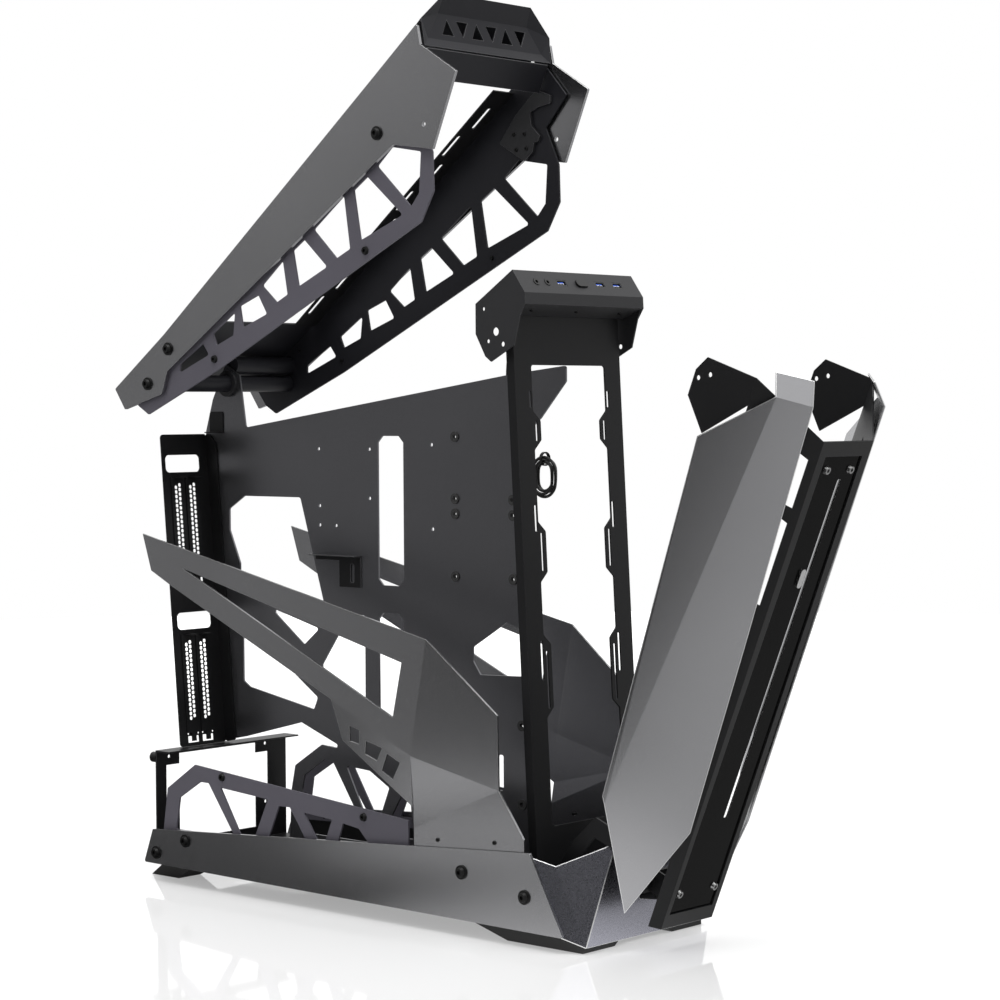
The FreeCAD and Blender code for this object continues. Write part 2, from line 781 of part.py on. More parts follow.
def hexagonal_hole(x, z, reach):
    """A six-sided outline with its corners up and down and its flats at this reach."""
    corner = reach / math.cos(math.radians(30))
    turns = [math.radians(30 + 60 * number) for number in range(6)]
    return Poly([(x + corner * math.cos(turn), z + corner * math.sin(turn)) for turn in turns])


# Front tower and its cover

def tower_level(z):
    return (z - 105.0) / math.cos(math.radians(float(S.tower_lean)))


def io_tower():
    """A folded frame with two side rails; tabs with slots reach in from the rails for fans."""
    half = float(S.tower_half)
    opening = float(S.tower_opening_half)
    low = tower_level(float(PAN_TOP)) + 0.9
    top = tower_level(594)
    opening_top = tower_level(534)
    opening_low = tower_level(105)
    right = [(opening, opening_low)]
    for high, bottom in ((283, 206), (388, 332), (491, 455)):
        high, bottom = tower_level(high), tower_level(bottom)
        right += [(opening, bottom), (opening - 10, bottom + 9), (opening - 10, high - 9), (opening, high)]
    right += [(opening, opening_top)]
    points = right + [(-x, level) for x, level in reversed(right)]
    loops = [Poly([(-half, low), (half, low), (half, top), (-half, top)]), Poly(points, 3)]
    for side in (-1, 1):
        for high, bottom in ((482, 463), (378, 342), (268, 214)):
            middle = side * (opening - 4)
            loops.append(rectangle(middle - 1.6, tower_level(bottom), middle + 1.6, tower_level(high), 1.5))
        for high, bottom in ((404, 379), (278, 241), (510, 494)):
            middle = side * (opening + 3)
            loops.append(rectangle(middle - 1.8, tower_level(bottom), middle + 1.8, tower_level(high), 1.5))
    for side in (-1, 1):
        left, right = sorted((side * (float(S.yoke_half) + 5), side * (float(S.yoke_half) - 8)))
        middle = tower_level(float(S.pivot_height))
        loops.append(rectangle(left, middle - 13, right, middle + 17, 3))
    tower = Piece("io_tower", TOWER_FRAME)
    tower.pad("XZ", loops, S.tower_sheet, S.tower_sheet)
    flange = rectangle(0, low, 9.5, top, 2)
    tower.pad("YZ", [flange], -S.tower_half, S.tower_sheet)
    tower.pad("YZ", [flange], S.tower_half - S.tower_sheet, S.tower_sheet)
    feet_flange = rectangle(-half, 0, half, 9.5)
    tower.pad("XY", [feet_flange], Length(low, str(low)), S.tower_sheet)


COVER_TOP_EDGE = (-220.0, 621.0)
COVER_FRONT_EDGE = (-235.0, 600.0)
CHIN_FOLD = (-235.6, 589.3)
CHIN_HEIGHT = 579.5
COVER_SCREWS = (-64.0, 0.0, 64.0)
PORT_MIDDLE = (-227.5, 610.5)
USB_PLACES = (-25.5, 30.7, 56.2)
JACK_PLACES = (-61.5, -45.9)
BUTTON_PLACE = 3.1


def slope_axes():
    """Unit vectors of the sloping port face: down the slope, and out of it."""
    down = Vector(0, COVER_FRONT_EDGE[0] - COVER_TOP_EDGE[0], COVER_FRONT_EDGE[1] - COVER_TOP_EDGE[1])
    down.normalize()
    return down, down.cross(Vector(1, 0, 0))


def slope_place(middle_x, behind):
    """A point in the middle of the port face, at x and this far behind the face."""
    return Vector(middle_x, *PORT_MIDDLE) - slope_axes()[1] * behind


def slope_box(middle_x, wide, high, near, far):
    """A block along the port face's normal, from near to far behind the face."""
    down, out = slope_axes()
    centre = slope_place(middle_x, near)
    corners = []
    for a, b in ((-1, -1), (1, -1), (1, 1), (-1, 1)):
        corners.append(centre + Vector(a * wide / 2, 0, 0) + down * (b * high / 2))
    face = Part.Face(Part.makePolygon(corners + corners[:1]))
    return face.extrude(out * (near - far))


def slope_stadium(middle_x, wide, high, near, far):
    """A block with round ends along the port face's normal."""
    core = slope_box(middle_x, wide - high, high, near, far)
    for side in (-1, 1):
        core = core.fuse(slope_round(middle_x + side * (wide - high) / 2, high / 2, near, far))
    return core.removeSplitter()


def slope_round(middle_x, radius, near, far):
    return Part.makeCylinder(radius, far - near, slope_place(middle_x, near), slope_axes()[1] * -1)


def io_cover():
    """The folded hood on top of the tower: port face, front band, chin, rear roof and two ears."""
    half = float(EAR_OUTER)
    chin = chin_end()
    ear = [(-174, 591), (-174, 563), (-186, 542), (-193, 537), (-221.7, 551.8), (-229, 579)]
    vertices = []
    for side in (-1, 1):
        x = side * half
        vertices += [(x, *COVER_TOP_EDGE), (x, *COVER_FRONT_EDGE), (x, *CHIN_FOLD), (x - side * 3, *chin)]
        vertices += [(x, y, z) for y, z in ear]
    facets = [
        [0, 1, 11, 10],
        [1, 2, 12, 11],
        [2, 3, 13, 12],
        [4, 0, 10, 14],
        [0, 4, 5, 6, 7, 8, 9, 2, 1],
        [10, 11, 12, 19, 18, 17, 16, 15, 14],
    ]
    sheet_depth = float(S.tower_sheet)
    shape = folded(vertices, facets, sheet_depth)
    slack = float(S.port_clearance)
    for x in USB_PLACES:
        wide = float(S.usb_width) + 2 * slack
        high = float(S.usb_height) + 2 * slack
        shape = shape.cut(slope_box(x, wide, high, -5, 5))
    for x in JACK_PLACES:
        shape = shape.cut(slope_round(x, float(S.jack_radius) + slack, -5, 5))
    shape = shape.cut(slope_stadium(BUTTON_PLACE, float(S.button_width) + 2 * slack,
                                    float(S.button_height) + 2 * slack, -5, 5))
    for side in (-1, 1):
        for y, z, radius in ((-184, 586, 1.8), (-199, 564.7, 3.9), (-189.6, 556, 2.0), (-207.7, 553, 2.4)):
            start = Vector(side * (half + 5), y, z)
            shape = shape.cut(Part.makeCylinder(radius, 10, start, Vector(-side, 0, 0)))
    chin_out, seats = chin_screws(chin)
    for seat in seats:
        hole = Part.makeCylinder(hole_radius(SMALL_SCREW), 8, seat + chin_out * 3, chin_out * -1)
        shape = shape.cut(hole)
    feature("io_cover", shape)
    bolts("io_cover_screws", [(SMALL_SCREW, seat, chin_out, 4.0) for seat in seats])


def chin_end():
    """Where the chin's outside ends, so that its inside stays one seat gap off the tower's front."""
    tower_front = -237.0 + (CHIN_HEIGHT - 105.0) * math.tan(math.radians(float(S.tower_lean)))
    return tower_front - float(S.seat_gap + S.tower_sheet * 0.4), CHIN_HEIGHT


def chin_screws(chin):
    """Direction out of the chin and the screws' seats in the middle of it."""
    fold = Vector(0, *CHIN_FOLD)
    run = Vector(0, *chin) - fold
    out = run.cross(Vector(1, 0, 0)).normalize()
    middle = fold + run * 0.5
    return out, [middle + Vector(x, 0, 0) for x in COVER_SCREWS]


def front_panel():
    """The board under the port face, and the ports and jacks that stand on it."""
    deep = float(S.port_depth)
    wide = float(S.usb_width)
    high = float(S.usb_height)
    ports = []
    for x in USB_PLACES:
        shell = slope_box(x, wide, high, 0.2, deep)
        shell = shell.cut(slope_box(x, wide - 1.4, high - 1.4, -1, deep - 2))
        tongue = slope_box(x, wide - 3.4, 1.8, 1.6, deep - 1)
        ports.append(shell.fuse(tongue))
    feature("usb_ports", Part.makeCompound(ports))
    jacks = []
    for x in JACK_PLACES:
        jack = slope_round(x, float(S.jack_radius), -0.6, deep)
        jacks.append(jack.cut(slope_round(x, 1.8, -2, deep - 2)))
    feature("audio_jacks", Part.makeCompound(jacks))
    board = slope_box(-2.6, 134.0, 17.0, deep, deep + float(S.board_sheet))
    feature("io_board", board)
    button = slope_stadium(BUTTON_PLACE, float(S.button_width), float(S.button_height), -1.8, deep - 3.5)
    feature("power_button", button)
    switch = slope_box(BUTTON_PLACE, 6.0, 5.0, deep - 1.7, deep)
    feature("button_switch", switch)


# Side wings

def side_wings():
    """The V-shaped wing at each side, its front facet, lower facet, strip and screwed band."""
    half = float(S.wing_half)
    band = float(SKIRT_INNER)
    vertices = [
        (-half, 280, 365), (-half, 267, 327), (-half, 235, 312), (-half, 1, 211.2),
        (-half, -106, 165), (-half, -127, 277),
        (-102, -212, 211), (-101.2, -212.6, 141),
        (-band, -243, 99), (-band, -104, 95), (-band, -104, 68), (-band, -243, 74),
        (-104.2, -11, 172), (-104.0, -105, 116),
    ]
    facets = [
        [0, 1, 2, 3, 4, 5],
        [5, 4, 7, 6],
        [4, 13, 9, 7],
        [9, 8, 7],
        [8, 9, 10, 11],
        [4, 3, 12, 13],
    ]
    shape = folded(vertices, facets, float(S.wing_sheet))
    window = [(217, 331), (-95, 253), (-83, 200)]
    shape = shape.cut(prism_across(window))
    for y, z in WING_BOLTS:
        start = Vector(-120, y, z)
        shape = shape.cut(Part.makeCylinder(hole_radius(SMALL_SCREW), 40, start, Vector(1, 0, 0)))
    for opening in ([(-23, 187), (-36, 184), (-35, 170), (-22, 172)],
                    [(-45, 174), (-67, 169), (-59, 156), (-43, 161)],
                    [(-74, 164), (-91, 157), (-80, 140), (-65, 147)]):
        shape = shape.cut(prism_across(opening))
    left = feature("left_side_wing", shape)
    mirrored(left, "right_side_wing")
    places = []
    for y, z in WING_BOLTS:
        places += both_sides(SMALL_SCREW, y, z, SKIRT_INNER, float(S.wing_sheet) + 3)
    bolts("wing_screws", places)


# Top arm, in its own frame: forward along the arm from the hinge axis, and up across it

ARM_BOLTS = [(400, -14), (36, 17), (-12, 9)]
TRUSS_BOLTS = [(81, -33), (315, -88)]
HOOK_BOLTS = [(416, -12), (427, -21), (409, -26), (420, -34)]


def arm_sides():
    holes = [bolt_hole(-u, v) for u, v in ARM_BOLTS]
    plate = Poly(forward([
        (-57, 38), (-58, 11), (-2, -13), (20, 0), (409, -37), (431, -60), (445, -75), (512, -38),
        (494, 13), (503, 31), (430, 31), (40, 33)]), 1.5)
    side_plate("arm_plate", [plate, Round((-451, -49), 2.2)] + holes, ARM_PLATE_OUTER, S.arm_sheet,
               ARM_FRAME)
    truss = Poly(forward([
        (-43, 4), (-36, -13), (75, -44), (388, -115), (418, -103), (440, -73), (450, -33), (490, -26),
        (487, 27), (430, 28.5), (40, 30), (-43, 30)]), 2)
    windows = [
        [(403, -34), (429, -63), (403, -92), (387, -95), (377, -35)],
        [(361, -34), (374, -94), (316, -76), (339, -32)],
        [(326, -27), (300, -73), (280, -68), (273, -25)],
        [(257, -24), (265, -66), (222, -55), (238, -22)],
        [(221, -20), (205, -51), (188, -47), (182, -20)],
        [(172, -24), (170, -47), (134, -35), (144, -15)],
        [(135, -15), (118, -32), (92, -24), (95, -11)],
        [(77, -9), (77, -24), (30, -10), (36, -3)],
    ]
    loops = [truss] + [Poly(forward(window), 2) for window in windows]
    loops += holes + [bolt_hole(-u, v) for u, v in TRUSS_BOLTS]
    left = Piece("left_arm_truss", ARM_FRAME)
    left.pad("YZ", loops, -ARM_TRUSS_OUTER, S.truss_sheet)
    right = Piece("right_arm_truss", ARM_FRAME)
    hook_holes = [bolt_hole(-u, v, SMALL_SCREW) for u, v in HOOK_BOLTS]
    right.pad("YZ", loops + hook_holes, ARM_TRUSS_INNER, S.truss_sheet)
    through = float(ARM_PLATE_OUTER - ARM_TRUSS_INNER)
    near = float(S.arm_sheet)
    collar = (near, near + float(S.spacer_gap))
    places = []
    for u, v in ARM_BOLTS:
        places += both_sides(PANEL_BOLT, -u, v, ARM_PLATE_OUTER, through, collar)
    for u, v in TRUSS_BOLTS:
        places += both_sides(TRUSS_BOLT, -u, v, ARM_TRUSS_OUTER, float(S.truss_sheet) + 2)
    seat = float(ARM_TRUSS_INNER - S.hook_sheet)
    shank = float(S.hook_sheet + S.truss_sheet)
    places += [(SMALL_SCREW, (seat, -u, v), (-1, 0, 0), shank) for u, v in HOOK_BOLTS]
    bolts("arm_screws", places, ARM_FRAME)


def arm_cross_pieces():
    inside = ARM_TRUSS_INNER - S.seat_gap
    wide = inside * 2
    tube = Piece("hinge_tube", ARM_FRAME)
    tube.pad("YZ", [Round((0, 0), S.hinge_tube_radius)], -inside, wide)
    cross = Piece("arm_cross_tube", ARM_FRAME)
    cross.pad("YZ", [Round((-13.8, 14.1), S.cross_tube_radius)], TRAY_OUTER + S.ear_gap,
              inside - TRAY_OUTER - S.ear_gap)
    rear = Piece("arm_rear_panel", ARM_FRAME)
    rear.pad("YZ", [Poly(forward([(-40, 26.2), (70, 26.2), (70, 28), (-40, 28)]))], -inside, wide)
    nose_panel = Piece("arm_nose_panel", ARM_FRAME)
    clear = inside - S.hook_sheet
    nose_panel.pad("YZ", [Poly(forward([(492.6, 11), (466.8, -2.8), (466, -1.2), (492, 12.7)]))],
                   -clear, clear * 2)
    for side, name in ((-1, "left"), (1, "right")):
        outer = side * float(inside)
        inner = side * (float(inside) - float(S.fan_rail_width))
        low, high = sorted((outer, inner))
        slots = []
        for index in range(8):
            start = -92 - index * float(S.rail_slot_pitch)
            middle = inner + side * (6 + 9 * (index % 2))
            half = float(S.rail_slot_width) / 2
            slots.append(rectangle(middle - half, start - float(S.rail_slot_length), middle + half, start, 2))
        rail = Piece(f"{name}_fan_rail", ARM_FRAME)
        rail.pad("XY", [rectangle(low, -440, high, -72)] + slots, S.rail_lift, S.rail_sheet)


def arm_cap():
    """The folded cap at the arm's tip: a lip over a sunk face with triangular vents."""
    half = float(ARM_TRUSS_INNER) + 1.0

    def at(x, ahead, up):
        return (x, -ahead, up)

    vertices = []
    for side in (-1, 1):
        vertices += [at(side * 63, 517, 51), at(side * 64, 507, 45), at(side * half, 504, 33),
                     at(side * half, 492.5, 13), at(side * 82, 494, 22), at(side * 63, 452, 39),
                     at(side * half, 452, 31)]
    facets = [
        [7, 0, 5, 12],
        [0, 2, 6, 5], [7, 12, 13, 9],
        [0, 7, 8, 1],
        [1, 8, 11, 4],
        [0, 1, 2], [7, 9, 8],
        [1, 4, 2], [8, 9, 11],
        [2, 4, 3], [9, 10, 11],
        [4, 11, 10, 3],
    ]
    shape = folded(vertices, facets, float(S.cap_sheet))
    top = Vector(*at(0, 507, 45))
    low = Vector(*at(0, 494, 22))
    for index in range(6):
        middle = -52.5 + 21 * index
        tip, base = (low, top) if index % 2 else (top, low)
        near_tip = tip * 0.78 + base * 0.22
        near_base = base * 0.78 + tip * 0.22
        corners = [near_tip + Vector(middle, 0, 0), near_base + Vector(middle - 8, 0, 0),
                   near_base + Vector(middle + 8, 0, 0)]
        shape = shape.cut(prism(corners, 6))
    feature("arm_cap", shape, ARM_FRAME)


def latch_hook():
    outline = Poly(forward([
        (396, -6), (410, -42), (424, -42), (431, -36), (436, -39), (441, -36), (439, -20), (446, -9),
        (457, -12), (471, -20), (476, -14), (466, 3), (431, 2)]), 1.5)
    hook = Piece("latch_hook", ARM_FRAME)
    hook.pad("YZ", [outline] + [bolt_hole(-u, v, SMALL_SCREW) for u, v in HOOK_BOLTS],
             ARM_TRUSS_INNER - S.hook_sheet, S.hook_sheet)


# Front frame, in its own frame: ahead of the pivot rod, and up from it

FACE_TOP = 493.0
FACE_BOTTOM = 16.0
FACE_SCREWS = [(-18, 466), (18, 466), (-26, 50), (26, 50)]
FRONT_WING_SCREWS = [(75, 240), (75, 450)]


def slanted(run):
    """Point (x, ahead) on the slanted side, at a run from the face's edge."""
    wide = float(FRONT_EAR_OUTER) - float(S.face_half)
    deep = float(S.face_depth) - float(S.fold_depth)
    full = math.hypot(wide, deep)
    return float(S.face_half) + wide * run / full, float(S.face_depth) - deep * run / full


def front_frame():
    fold_run = math.hypot(float(FRONT_EAR_OUTER) - float(S.face_half),
                          float(S.face_depth) - float(S.fold_depth))
    ear = [(57, 506), (20, 466), (-6, 491), (-6, 515), (2, 529)]
    vertices = []
    for side in (-1, 1):
        outline = [(0, FACE_TOP), (0, 117.0), (0, FACE_BOTTOM), (12, FACE_BOTTOM), (12, 117.0),
                   (fold_run, 178.0), (fold_run, 506.0), (fold_run, 531.0)]
        for run, up in outline:
            x, ahead = slanted(run)
            vertices.append((side * x, -ahead, up))
        for ahead, up in ear[1:]:
            vertices.append((side * float(FRONT_EAR_OUTER), -ahead, up))
    count = len(vertices) // 2
    facets = [[2, 1, 0, count, count + 1, count + 2][::-1]]
    left_side = [0, 1, 2, 3, 4, 5, 6, 7]
    left_ear = [7, 6, 8, 9, 10, 11]
    facets.append(left_side[::-1])
    facets.append(left_ear[::-1])
    facets.append([index + count for index in left_side])
    facets.append([index + count for index in left_ear])
    shape = folded(vertices, facets, float(S.frame_sheet))
    window_half = float(S.face_window_half)
    ahead = float(S.face_depth)
    window = [(-window_half, 479), (window_half, 479), (window_half + 4, 30), (-window_half - 4, 30)]
    shape = shape.cut(prism([(x, -ahead, up) for x, up in window], 6))
    for side in (-1, 1):
        for high, low in ((474, 429), (415, 337)):
            corners = []
            for run, up in ((8, high), (36, high + 12), (36, low + 6), (8, low)):
                x, depth = slanted(run)
                corners.append((side * x, -depth, up))
            shape = shape.cut(prism(corners, 6))
        for x, up in FRONT_WING_SCREWS:
            across = Vector(side * (slanted(0)[1] - slanted(1)[1]), slanted(0)[0] - slanted(1)[0], 0)
            behind = x - float(S.wing_offset) * abs(across.x)
            run = (behind - float(S.face_half)) / (slanted(1)[0] - slanted(0)[0])
            x, depth = slanted(run)
            start = Vector(side * x, -depth, up) + across * 3
            shape = shape.cut(Part.makeCylinder(hole_radius(TRUSS_BOLT), 8, start, across * -1))
        for ahead_hole, up in ((-1, 509), (10, 516)):
            start = Vector(side * (float(FRONT_EAR_OUTER) + 4), -ahead_hole, up)
            shape = shape.cut(Part.makeCylinder(2.2, 8, start, Vector(-side, 0, 0)))
    feature("front_frame", shape, FRONT_FRAME)


def front_inner_plate():
    depth = S.face_depth - S.frame_sheet
    half = float(S.face_half) - 2.0
    outline = Poly([(-half, 22), (half, 22), (half, 486), (-half, 486)], 8)
    slot = rectangle(4.5, 123, 9.5, 457, 2.4)
    holes = [bolt_hole(*place) for place in FACE_SCREWS]
    plate = Piece("front_inner_plate", FRONT_FRAME)
    plate.pad("XZ", [outline, slot] + holes, -depth + S.plate_sheet, S.plate_sheet)
    seat = -float(depth)
    places = [(TRUSS_BOLT, (x, seat, up), (0, -1, 0), 3.4) for x, up in FACE_SCREWS]
    bolts("front_screws", places, FRONT_FRAME)
    stud = Piece("front_stud", FRONT_FRAME)
    stud.pad("XZ", [rectangle(-6.5, 354, 0.5, 372, 3.4)], -depth, S.stud_height)


def front_wings():
    """The bent outer panel at each side of the front frame: a light and a dark facet and a top tab."""
    wide = float(S.face_depth) - float(S.fold_depth)
    deep = float(FRONT_EAR_OUTER) - float(S.face_half)
    full = math.hypot(wide, deep)
    normal = (wide / full, deep / full)
    level = normal[0] * float(S.face_half) + normal[1] * float(S.face_depth) + float(S.wing_offset)

    def on_light(x, up):
        return (-x, -(level - normal[0] * x) / normal[1], up)

    inner_top = on_light(55, 521)
    fold_top = on_light(79, 521)
    vertices = [
        inner_top, on_light(48.6, 302), on_light(44, 116), on_light(53, 82), on_light(68, 24),
        on_light(102, 122), fold_top,
        (-114, -34.2, 469), (-104, -47.9, 129),
        (-71, -61.5, 539), (-46, -85.6, 540),
    ]
    facets = [
        [0, 1, 2, 3, 4, 5, 6],
        [6, 5, 8, 7],
        [0, 6, 9, 10],
    ]
    shape = folded(vertices, [facet[::-1] for facet in facets], float(S.wing_sheet))
    left = feature("left_front_wing", shape, FRONT_FRAME)
    mirrored(left, "right_front_wing")
    # The screws come from inside the frame and end in spacers on the wing's back, so none shows.
    inwards = Vector(normal[0], normal[1], 0)
    spacer_end = float(S.frame_sheet + S.wing_offset - S.wing_sheet)
    collar = (float(S.frame_sheet), spacer_end)
    places = []
    for place in FRONT_WING_SCREWS:
        seat = Vector(*on_light(*place)) + inwards * float(S.wing_offset + S.frame_sheet)
        for side in (1, -1):
            places.append((TRUSS_BOLT, (seat.x * side, seat.y, seat.z), (inwards.x * side, inwards.y, 0),
                           spacer_end, collar))
    bolts("front_wing_screws", places, FRONT_FRAME)


def hinge_yoke():
    """Two goosenecks on the pivot rod that reach over the nose to a bracket behind the face."""
    path = forward([(-6, -8), (5, -8), (10, 0), (12, 30), (26, 70), (48, 71), (78, 40), (82.4, 40),
                    (82.4, 62), (56, 88), (20, 88), (3, 52), (-2, 22), (-8, 6)])
    hole = Round((0, 0), S.pivot_rod_radius + S.seat_gap)
    outer = S.yoke_half
    front = S.face_depth - S.frame_sheet - S.plate_sheet - S.seat_gap
    yoke = Piece("hinge_yoke", FRONT_FRAME)
    yoke.pad("YZ", [Poly(path, 3), hole], -outer, S.yoke_sheet)
    yoke.pad("YZ", [Poly(path, 3), hole], outer - S.yoke_sheet, S.yoke_sheet)
    half = float(outer)
    yoke.pad("XZ", [rectangle(-half, 40, half, 62)], -S.yoke_ahead, S.yoke_sheet)
    arm_half = S.yoke_arm_half
    arm = rectangle(-float(front), 40, -float(S.yoke_ahead), 62)
    yoke.pad("YZ", [arm], -arm_half, S.yoke_sheet)
    yoke.pad("YZ", [arm], arm_half - S.yoke_sheet, S.yoke_sheet)
    wide = float(arm_half)
    for side in (-1, 1):
        left, right = sorted((side * wide, side * (wide - 15)))
        screw = bolt_hole(side * 26, 50)
        yoke.pad("XZ", [rectangle(left, 40, right, 62), screw], -(front - S.yoke_sheet), S.yoke_sheet)


# Cable

CABLE_X = -50.0
COIL_PLACE = (14.5, -171.0, 428.0)
CABLE_ROUTE = [(-44, -188, 590), (-22, -158, 584), (2, -137, 574), (13, -128, 556), (14, -124, 535),
               (14.5, -123, 515), (15, -131, 495), (15, -147, 478), (15, -163, 466), (14.5, -170, 456)]


def rounded_path(points):
    """Straight runs joined by tangent arcs as large as the runs allow."""
    edges = []
    here = points[0]
    for index in range(1, len(points) - 1):
        start, middle, end = rounding(points[index - 1], points[index], points[index + 1])
        edges.append(Part.LineSegment(here, start).toShape())
        arc = Part.Arc(start, middle, end).toShape()
        edges.append(arc)
        print(f"cable bend {index} radius {arc.Curve.Radius:.0f}")
        here = end
    edges.append(Part.LineSegment(here, points[-1]).toShape())
    return Part.Wire(edges)


def cable():
    """The panel cable from the board over the tray's edge to its bundled, tied spare length."""
    thick = float(S.coil_thickness)
    tie_radius = thick + float(S.tie_clearance) + 1.2
    half = float(S.coil_half)
    reach = float(S.coil_reach)
    middle = Vector(*COIL_PLACE)
    coil_top = middle + Vector(0, 0, reach)
    behind_board = float(S.port_depth) + float(S.board_sheet)
    first = slope_place(CABLE_X, behind_board)
    second = slope_place(CABLE_X, behind_board + 12)
    route = [first, second] + [Vector(*point) for point in CABLE_ROUTE]
    route.append(coil_top + Vector(0, 0, tie_radius + float(S.seat_gap)))
    path = rounded_path(route)
    circle = Part.Wire(Part.Circle(first, second - first, float(S.cable_radius)).toShape())
    tube = path.makePipeShell([circle], True, False)
    print("cable volume", round(tube.Volume), round(path.Length * math.pi * float(S.cable_radius) ** 2))
    feature("panel_cable", tube)
    bow = reach - half
    ring = []
    for turn in (1, -1):
        ends = [middle + Vector(0, side * turn * half, turn * bow) for side in (-1, 1)]
        ring.append(Part.Arc(ends[0], middle + Vector(0, 0, turn * reach), ends[1]).toShape())
        ring.append(Part.LineSegment(ends[1], ends[1] - Vector(0, 0, turn * 2 * bow)).toShape())
    section = Part.Wire(Part.Circle(middle + Vector(0, -half, bow), Vector(0, 0, 1), thick).toShape())
    feature("cable_coil", Part.Wire(ring).makePipeShell([section], True, False))
    along = Vector(0, 1, 0)
    tie = Part.makeCylinder(tie_radius, 3.0, coil_top - along * 1.5, along)
    inner = Part.makeCylinder(thick + float(S.tie_clearance), 5.0, coil_top - along * 2.5, along)
    feature("cable_tie", tie.cut(inner))


base_pan()
skirts()
base_trusses()
feet()
nose()
psu_frame()
tray()
tray_fittings()
slot_plate()
io_tower()
io_cover()
front_panel()
side_wings()
arm_sides()
arm_cross_pieces()
arm_cap()
latch_hook()
front_frame()
front_inner_plate()
front_wings()
hinge_yoke()
cable()
doc.recompute()

for item in doc.Objects:
    if "Invalid" in item.State or "Error" in item.State:
        raise RuntimeError(f"{item.Label} failed to compute: {item.State}")
for node in NODES:
    if node.Shape.isNull() or not node.Shape.isValid() or not node.Shape.Solids:
        raise RuntimeError(f"{node.Label} has no valid solid")

os.makedirs("parts", exist_ok=True)
for node in NODES:
    node.Shape.exportStep(f"parts/{node.Label}.step")
print(len(NODES), "nodes written")
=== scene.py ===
# %% [markdown]
# # Dressing an open-frame computer case
# The case is a full tower made of cut and folded sheet metal: an upright tray, a front tower,
# a top arm that swings up, and a front frame that swings forward. The solids come packed from the
# CAD model and stay where they are. This lesson gives them their finishes, adds the pieces that
# are too fine for the solids, and sets up a plain studio round them.

# %% Load the frame
import json
import math

import bmesh
import bpy
import numpy as np
from mathutils import Matrix, Vector

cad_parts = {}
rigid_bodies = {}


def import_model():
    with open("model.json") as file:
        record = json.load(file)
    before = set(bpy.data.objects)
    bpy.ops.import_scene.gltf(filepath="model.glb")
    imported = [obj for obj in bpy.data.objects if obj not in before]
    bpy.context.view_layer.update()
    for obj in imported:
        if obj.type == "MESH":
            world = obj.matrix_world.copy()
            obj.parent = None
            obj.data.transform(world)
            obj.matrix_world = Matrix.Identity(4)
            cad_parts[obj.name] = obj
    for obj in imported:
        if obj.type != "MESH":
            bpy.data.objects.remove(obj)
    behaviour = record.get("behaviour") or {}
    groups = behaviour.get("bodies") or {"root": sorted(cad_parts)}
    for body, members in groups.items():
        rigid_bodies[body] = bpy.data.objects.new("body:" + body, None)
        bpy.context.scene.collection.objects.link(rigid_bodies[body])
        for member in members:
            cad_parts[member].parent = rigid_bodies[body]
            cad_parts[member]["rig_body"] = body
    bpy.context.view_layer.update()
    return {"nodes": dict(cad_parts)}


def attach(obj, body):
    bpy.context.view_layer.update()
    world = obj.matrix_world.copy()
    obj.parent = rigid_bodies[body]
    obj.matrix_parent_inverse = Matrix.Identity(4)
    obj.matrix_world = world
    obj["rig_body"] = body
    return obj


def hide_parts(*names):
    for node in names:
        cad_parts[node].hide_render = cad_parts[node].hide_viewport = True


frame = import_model()

# %% [markdown]
# ## Camera
# The photograph was taken from the front left, from a little above the middle of the case and
# through a long lens, so edges that run away from the viewer hardly converge. Its place was worked
# out from known lengths on the object, so it is written down as numbers: where the camera stands,
# which way it looks, and which way is up for it.

# %% Stand the camera where the photograph was taken
CAMERA_PLACE = Vector((-1.8450, -1.6796, 0.4939))
LOOKING = Vector((0.74429, 0.66689, -0.03590))
UPWARDS = Vector((0.03057, 0.01967, 0.99934))
LENS_MM = 91.95
FARTHEST_SEEN = 60.0


def placed(name, data):
    """A new object that holds the data, linked into the scene."""
    made = bpy.data.objects.new(name, data)
    bpy.context.collection.objects.link(made)
    return made


camera_data = bpy.data.cameras.new("camera")
camera_data.lens = LENS_MM
camera_data.clip_end = FARTHEST_SEEN
camera = placed("camera", camera_data)
turn = Matrix((LOOKING.cross(UPWARDS), UPWARDS, -LOOKING)).transposed()
camera.matrix_world = Matrix.Translation(CAMERA_PLACE) @ turn.to_4x4()
bpy.context.scene.camera = camera
bpy.context.scene.view_settings.view_transform = "Standard"
print("camera stands", round(CAMERA_PLACE.length, 2), "m from the origin")

# %% [markdown]
# ## Shader maths
# A finish is mostly arithmetic on patterns: one noise times a number plus another. Writing that
# with the node editor's boxes is slow to read, so one small class wraps a socket and lets Python's
# own signs add the Math nodes. Every other node comes from one method, which sets the node's own
# settings before it fills or links its sockets.


# %% Wrap sockets so that they can be added and multiplied
class Wave:
    """A number that varies over the surface; sums and products of waves add Math nodes."""

    def __init__(self, nodes, socket):
        self.nodes = nodes
        self.socket = socket

    def _math(self, operation, first, second):
        made = self.nodes.node("ShaderNodeMath", {"operation": operation}, {0: first, 1: second})
        return Wave(self.nodes, made.outputs[0])

    def __add__(self, other):
        return self._math("ADD", self, other)

    def __mul__(self, other):
        return self._math("MULTIPLY", self, other)

    def __sub__(self, other):
        return self._math("SUBTRACT", self, other)

    def __rsub__(self, other):
        return self._math("SUBTRACT", other, self)

    def __truediv__(self, other):
        return self._math("DIVIDE", self, other)

    def __rtruediv__(self, other):
        return self._math("DIVIDE", other, self)

    __radd__ = __add__
    __rmul__ = __mul__


print("the signs + - * / now add Math nodes")


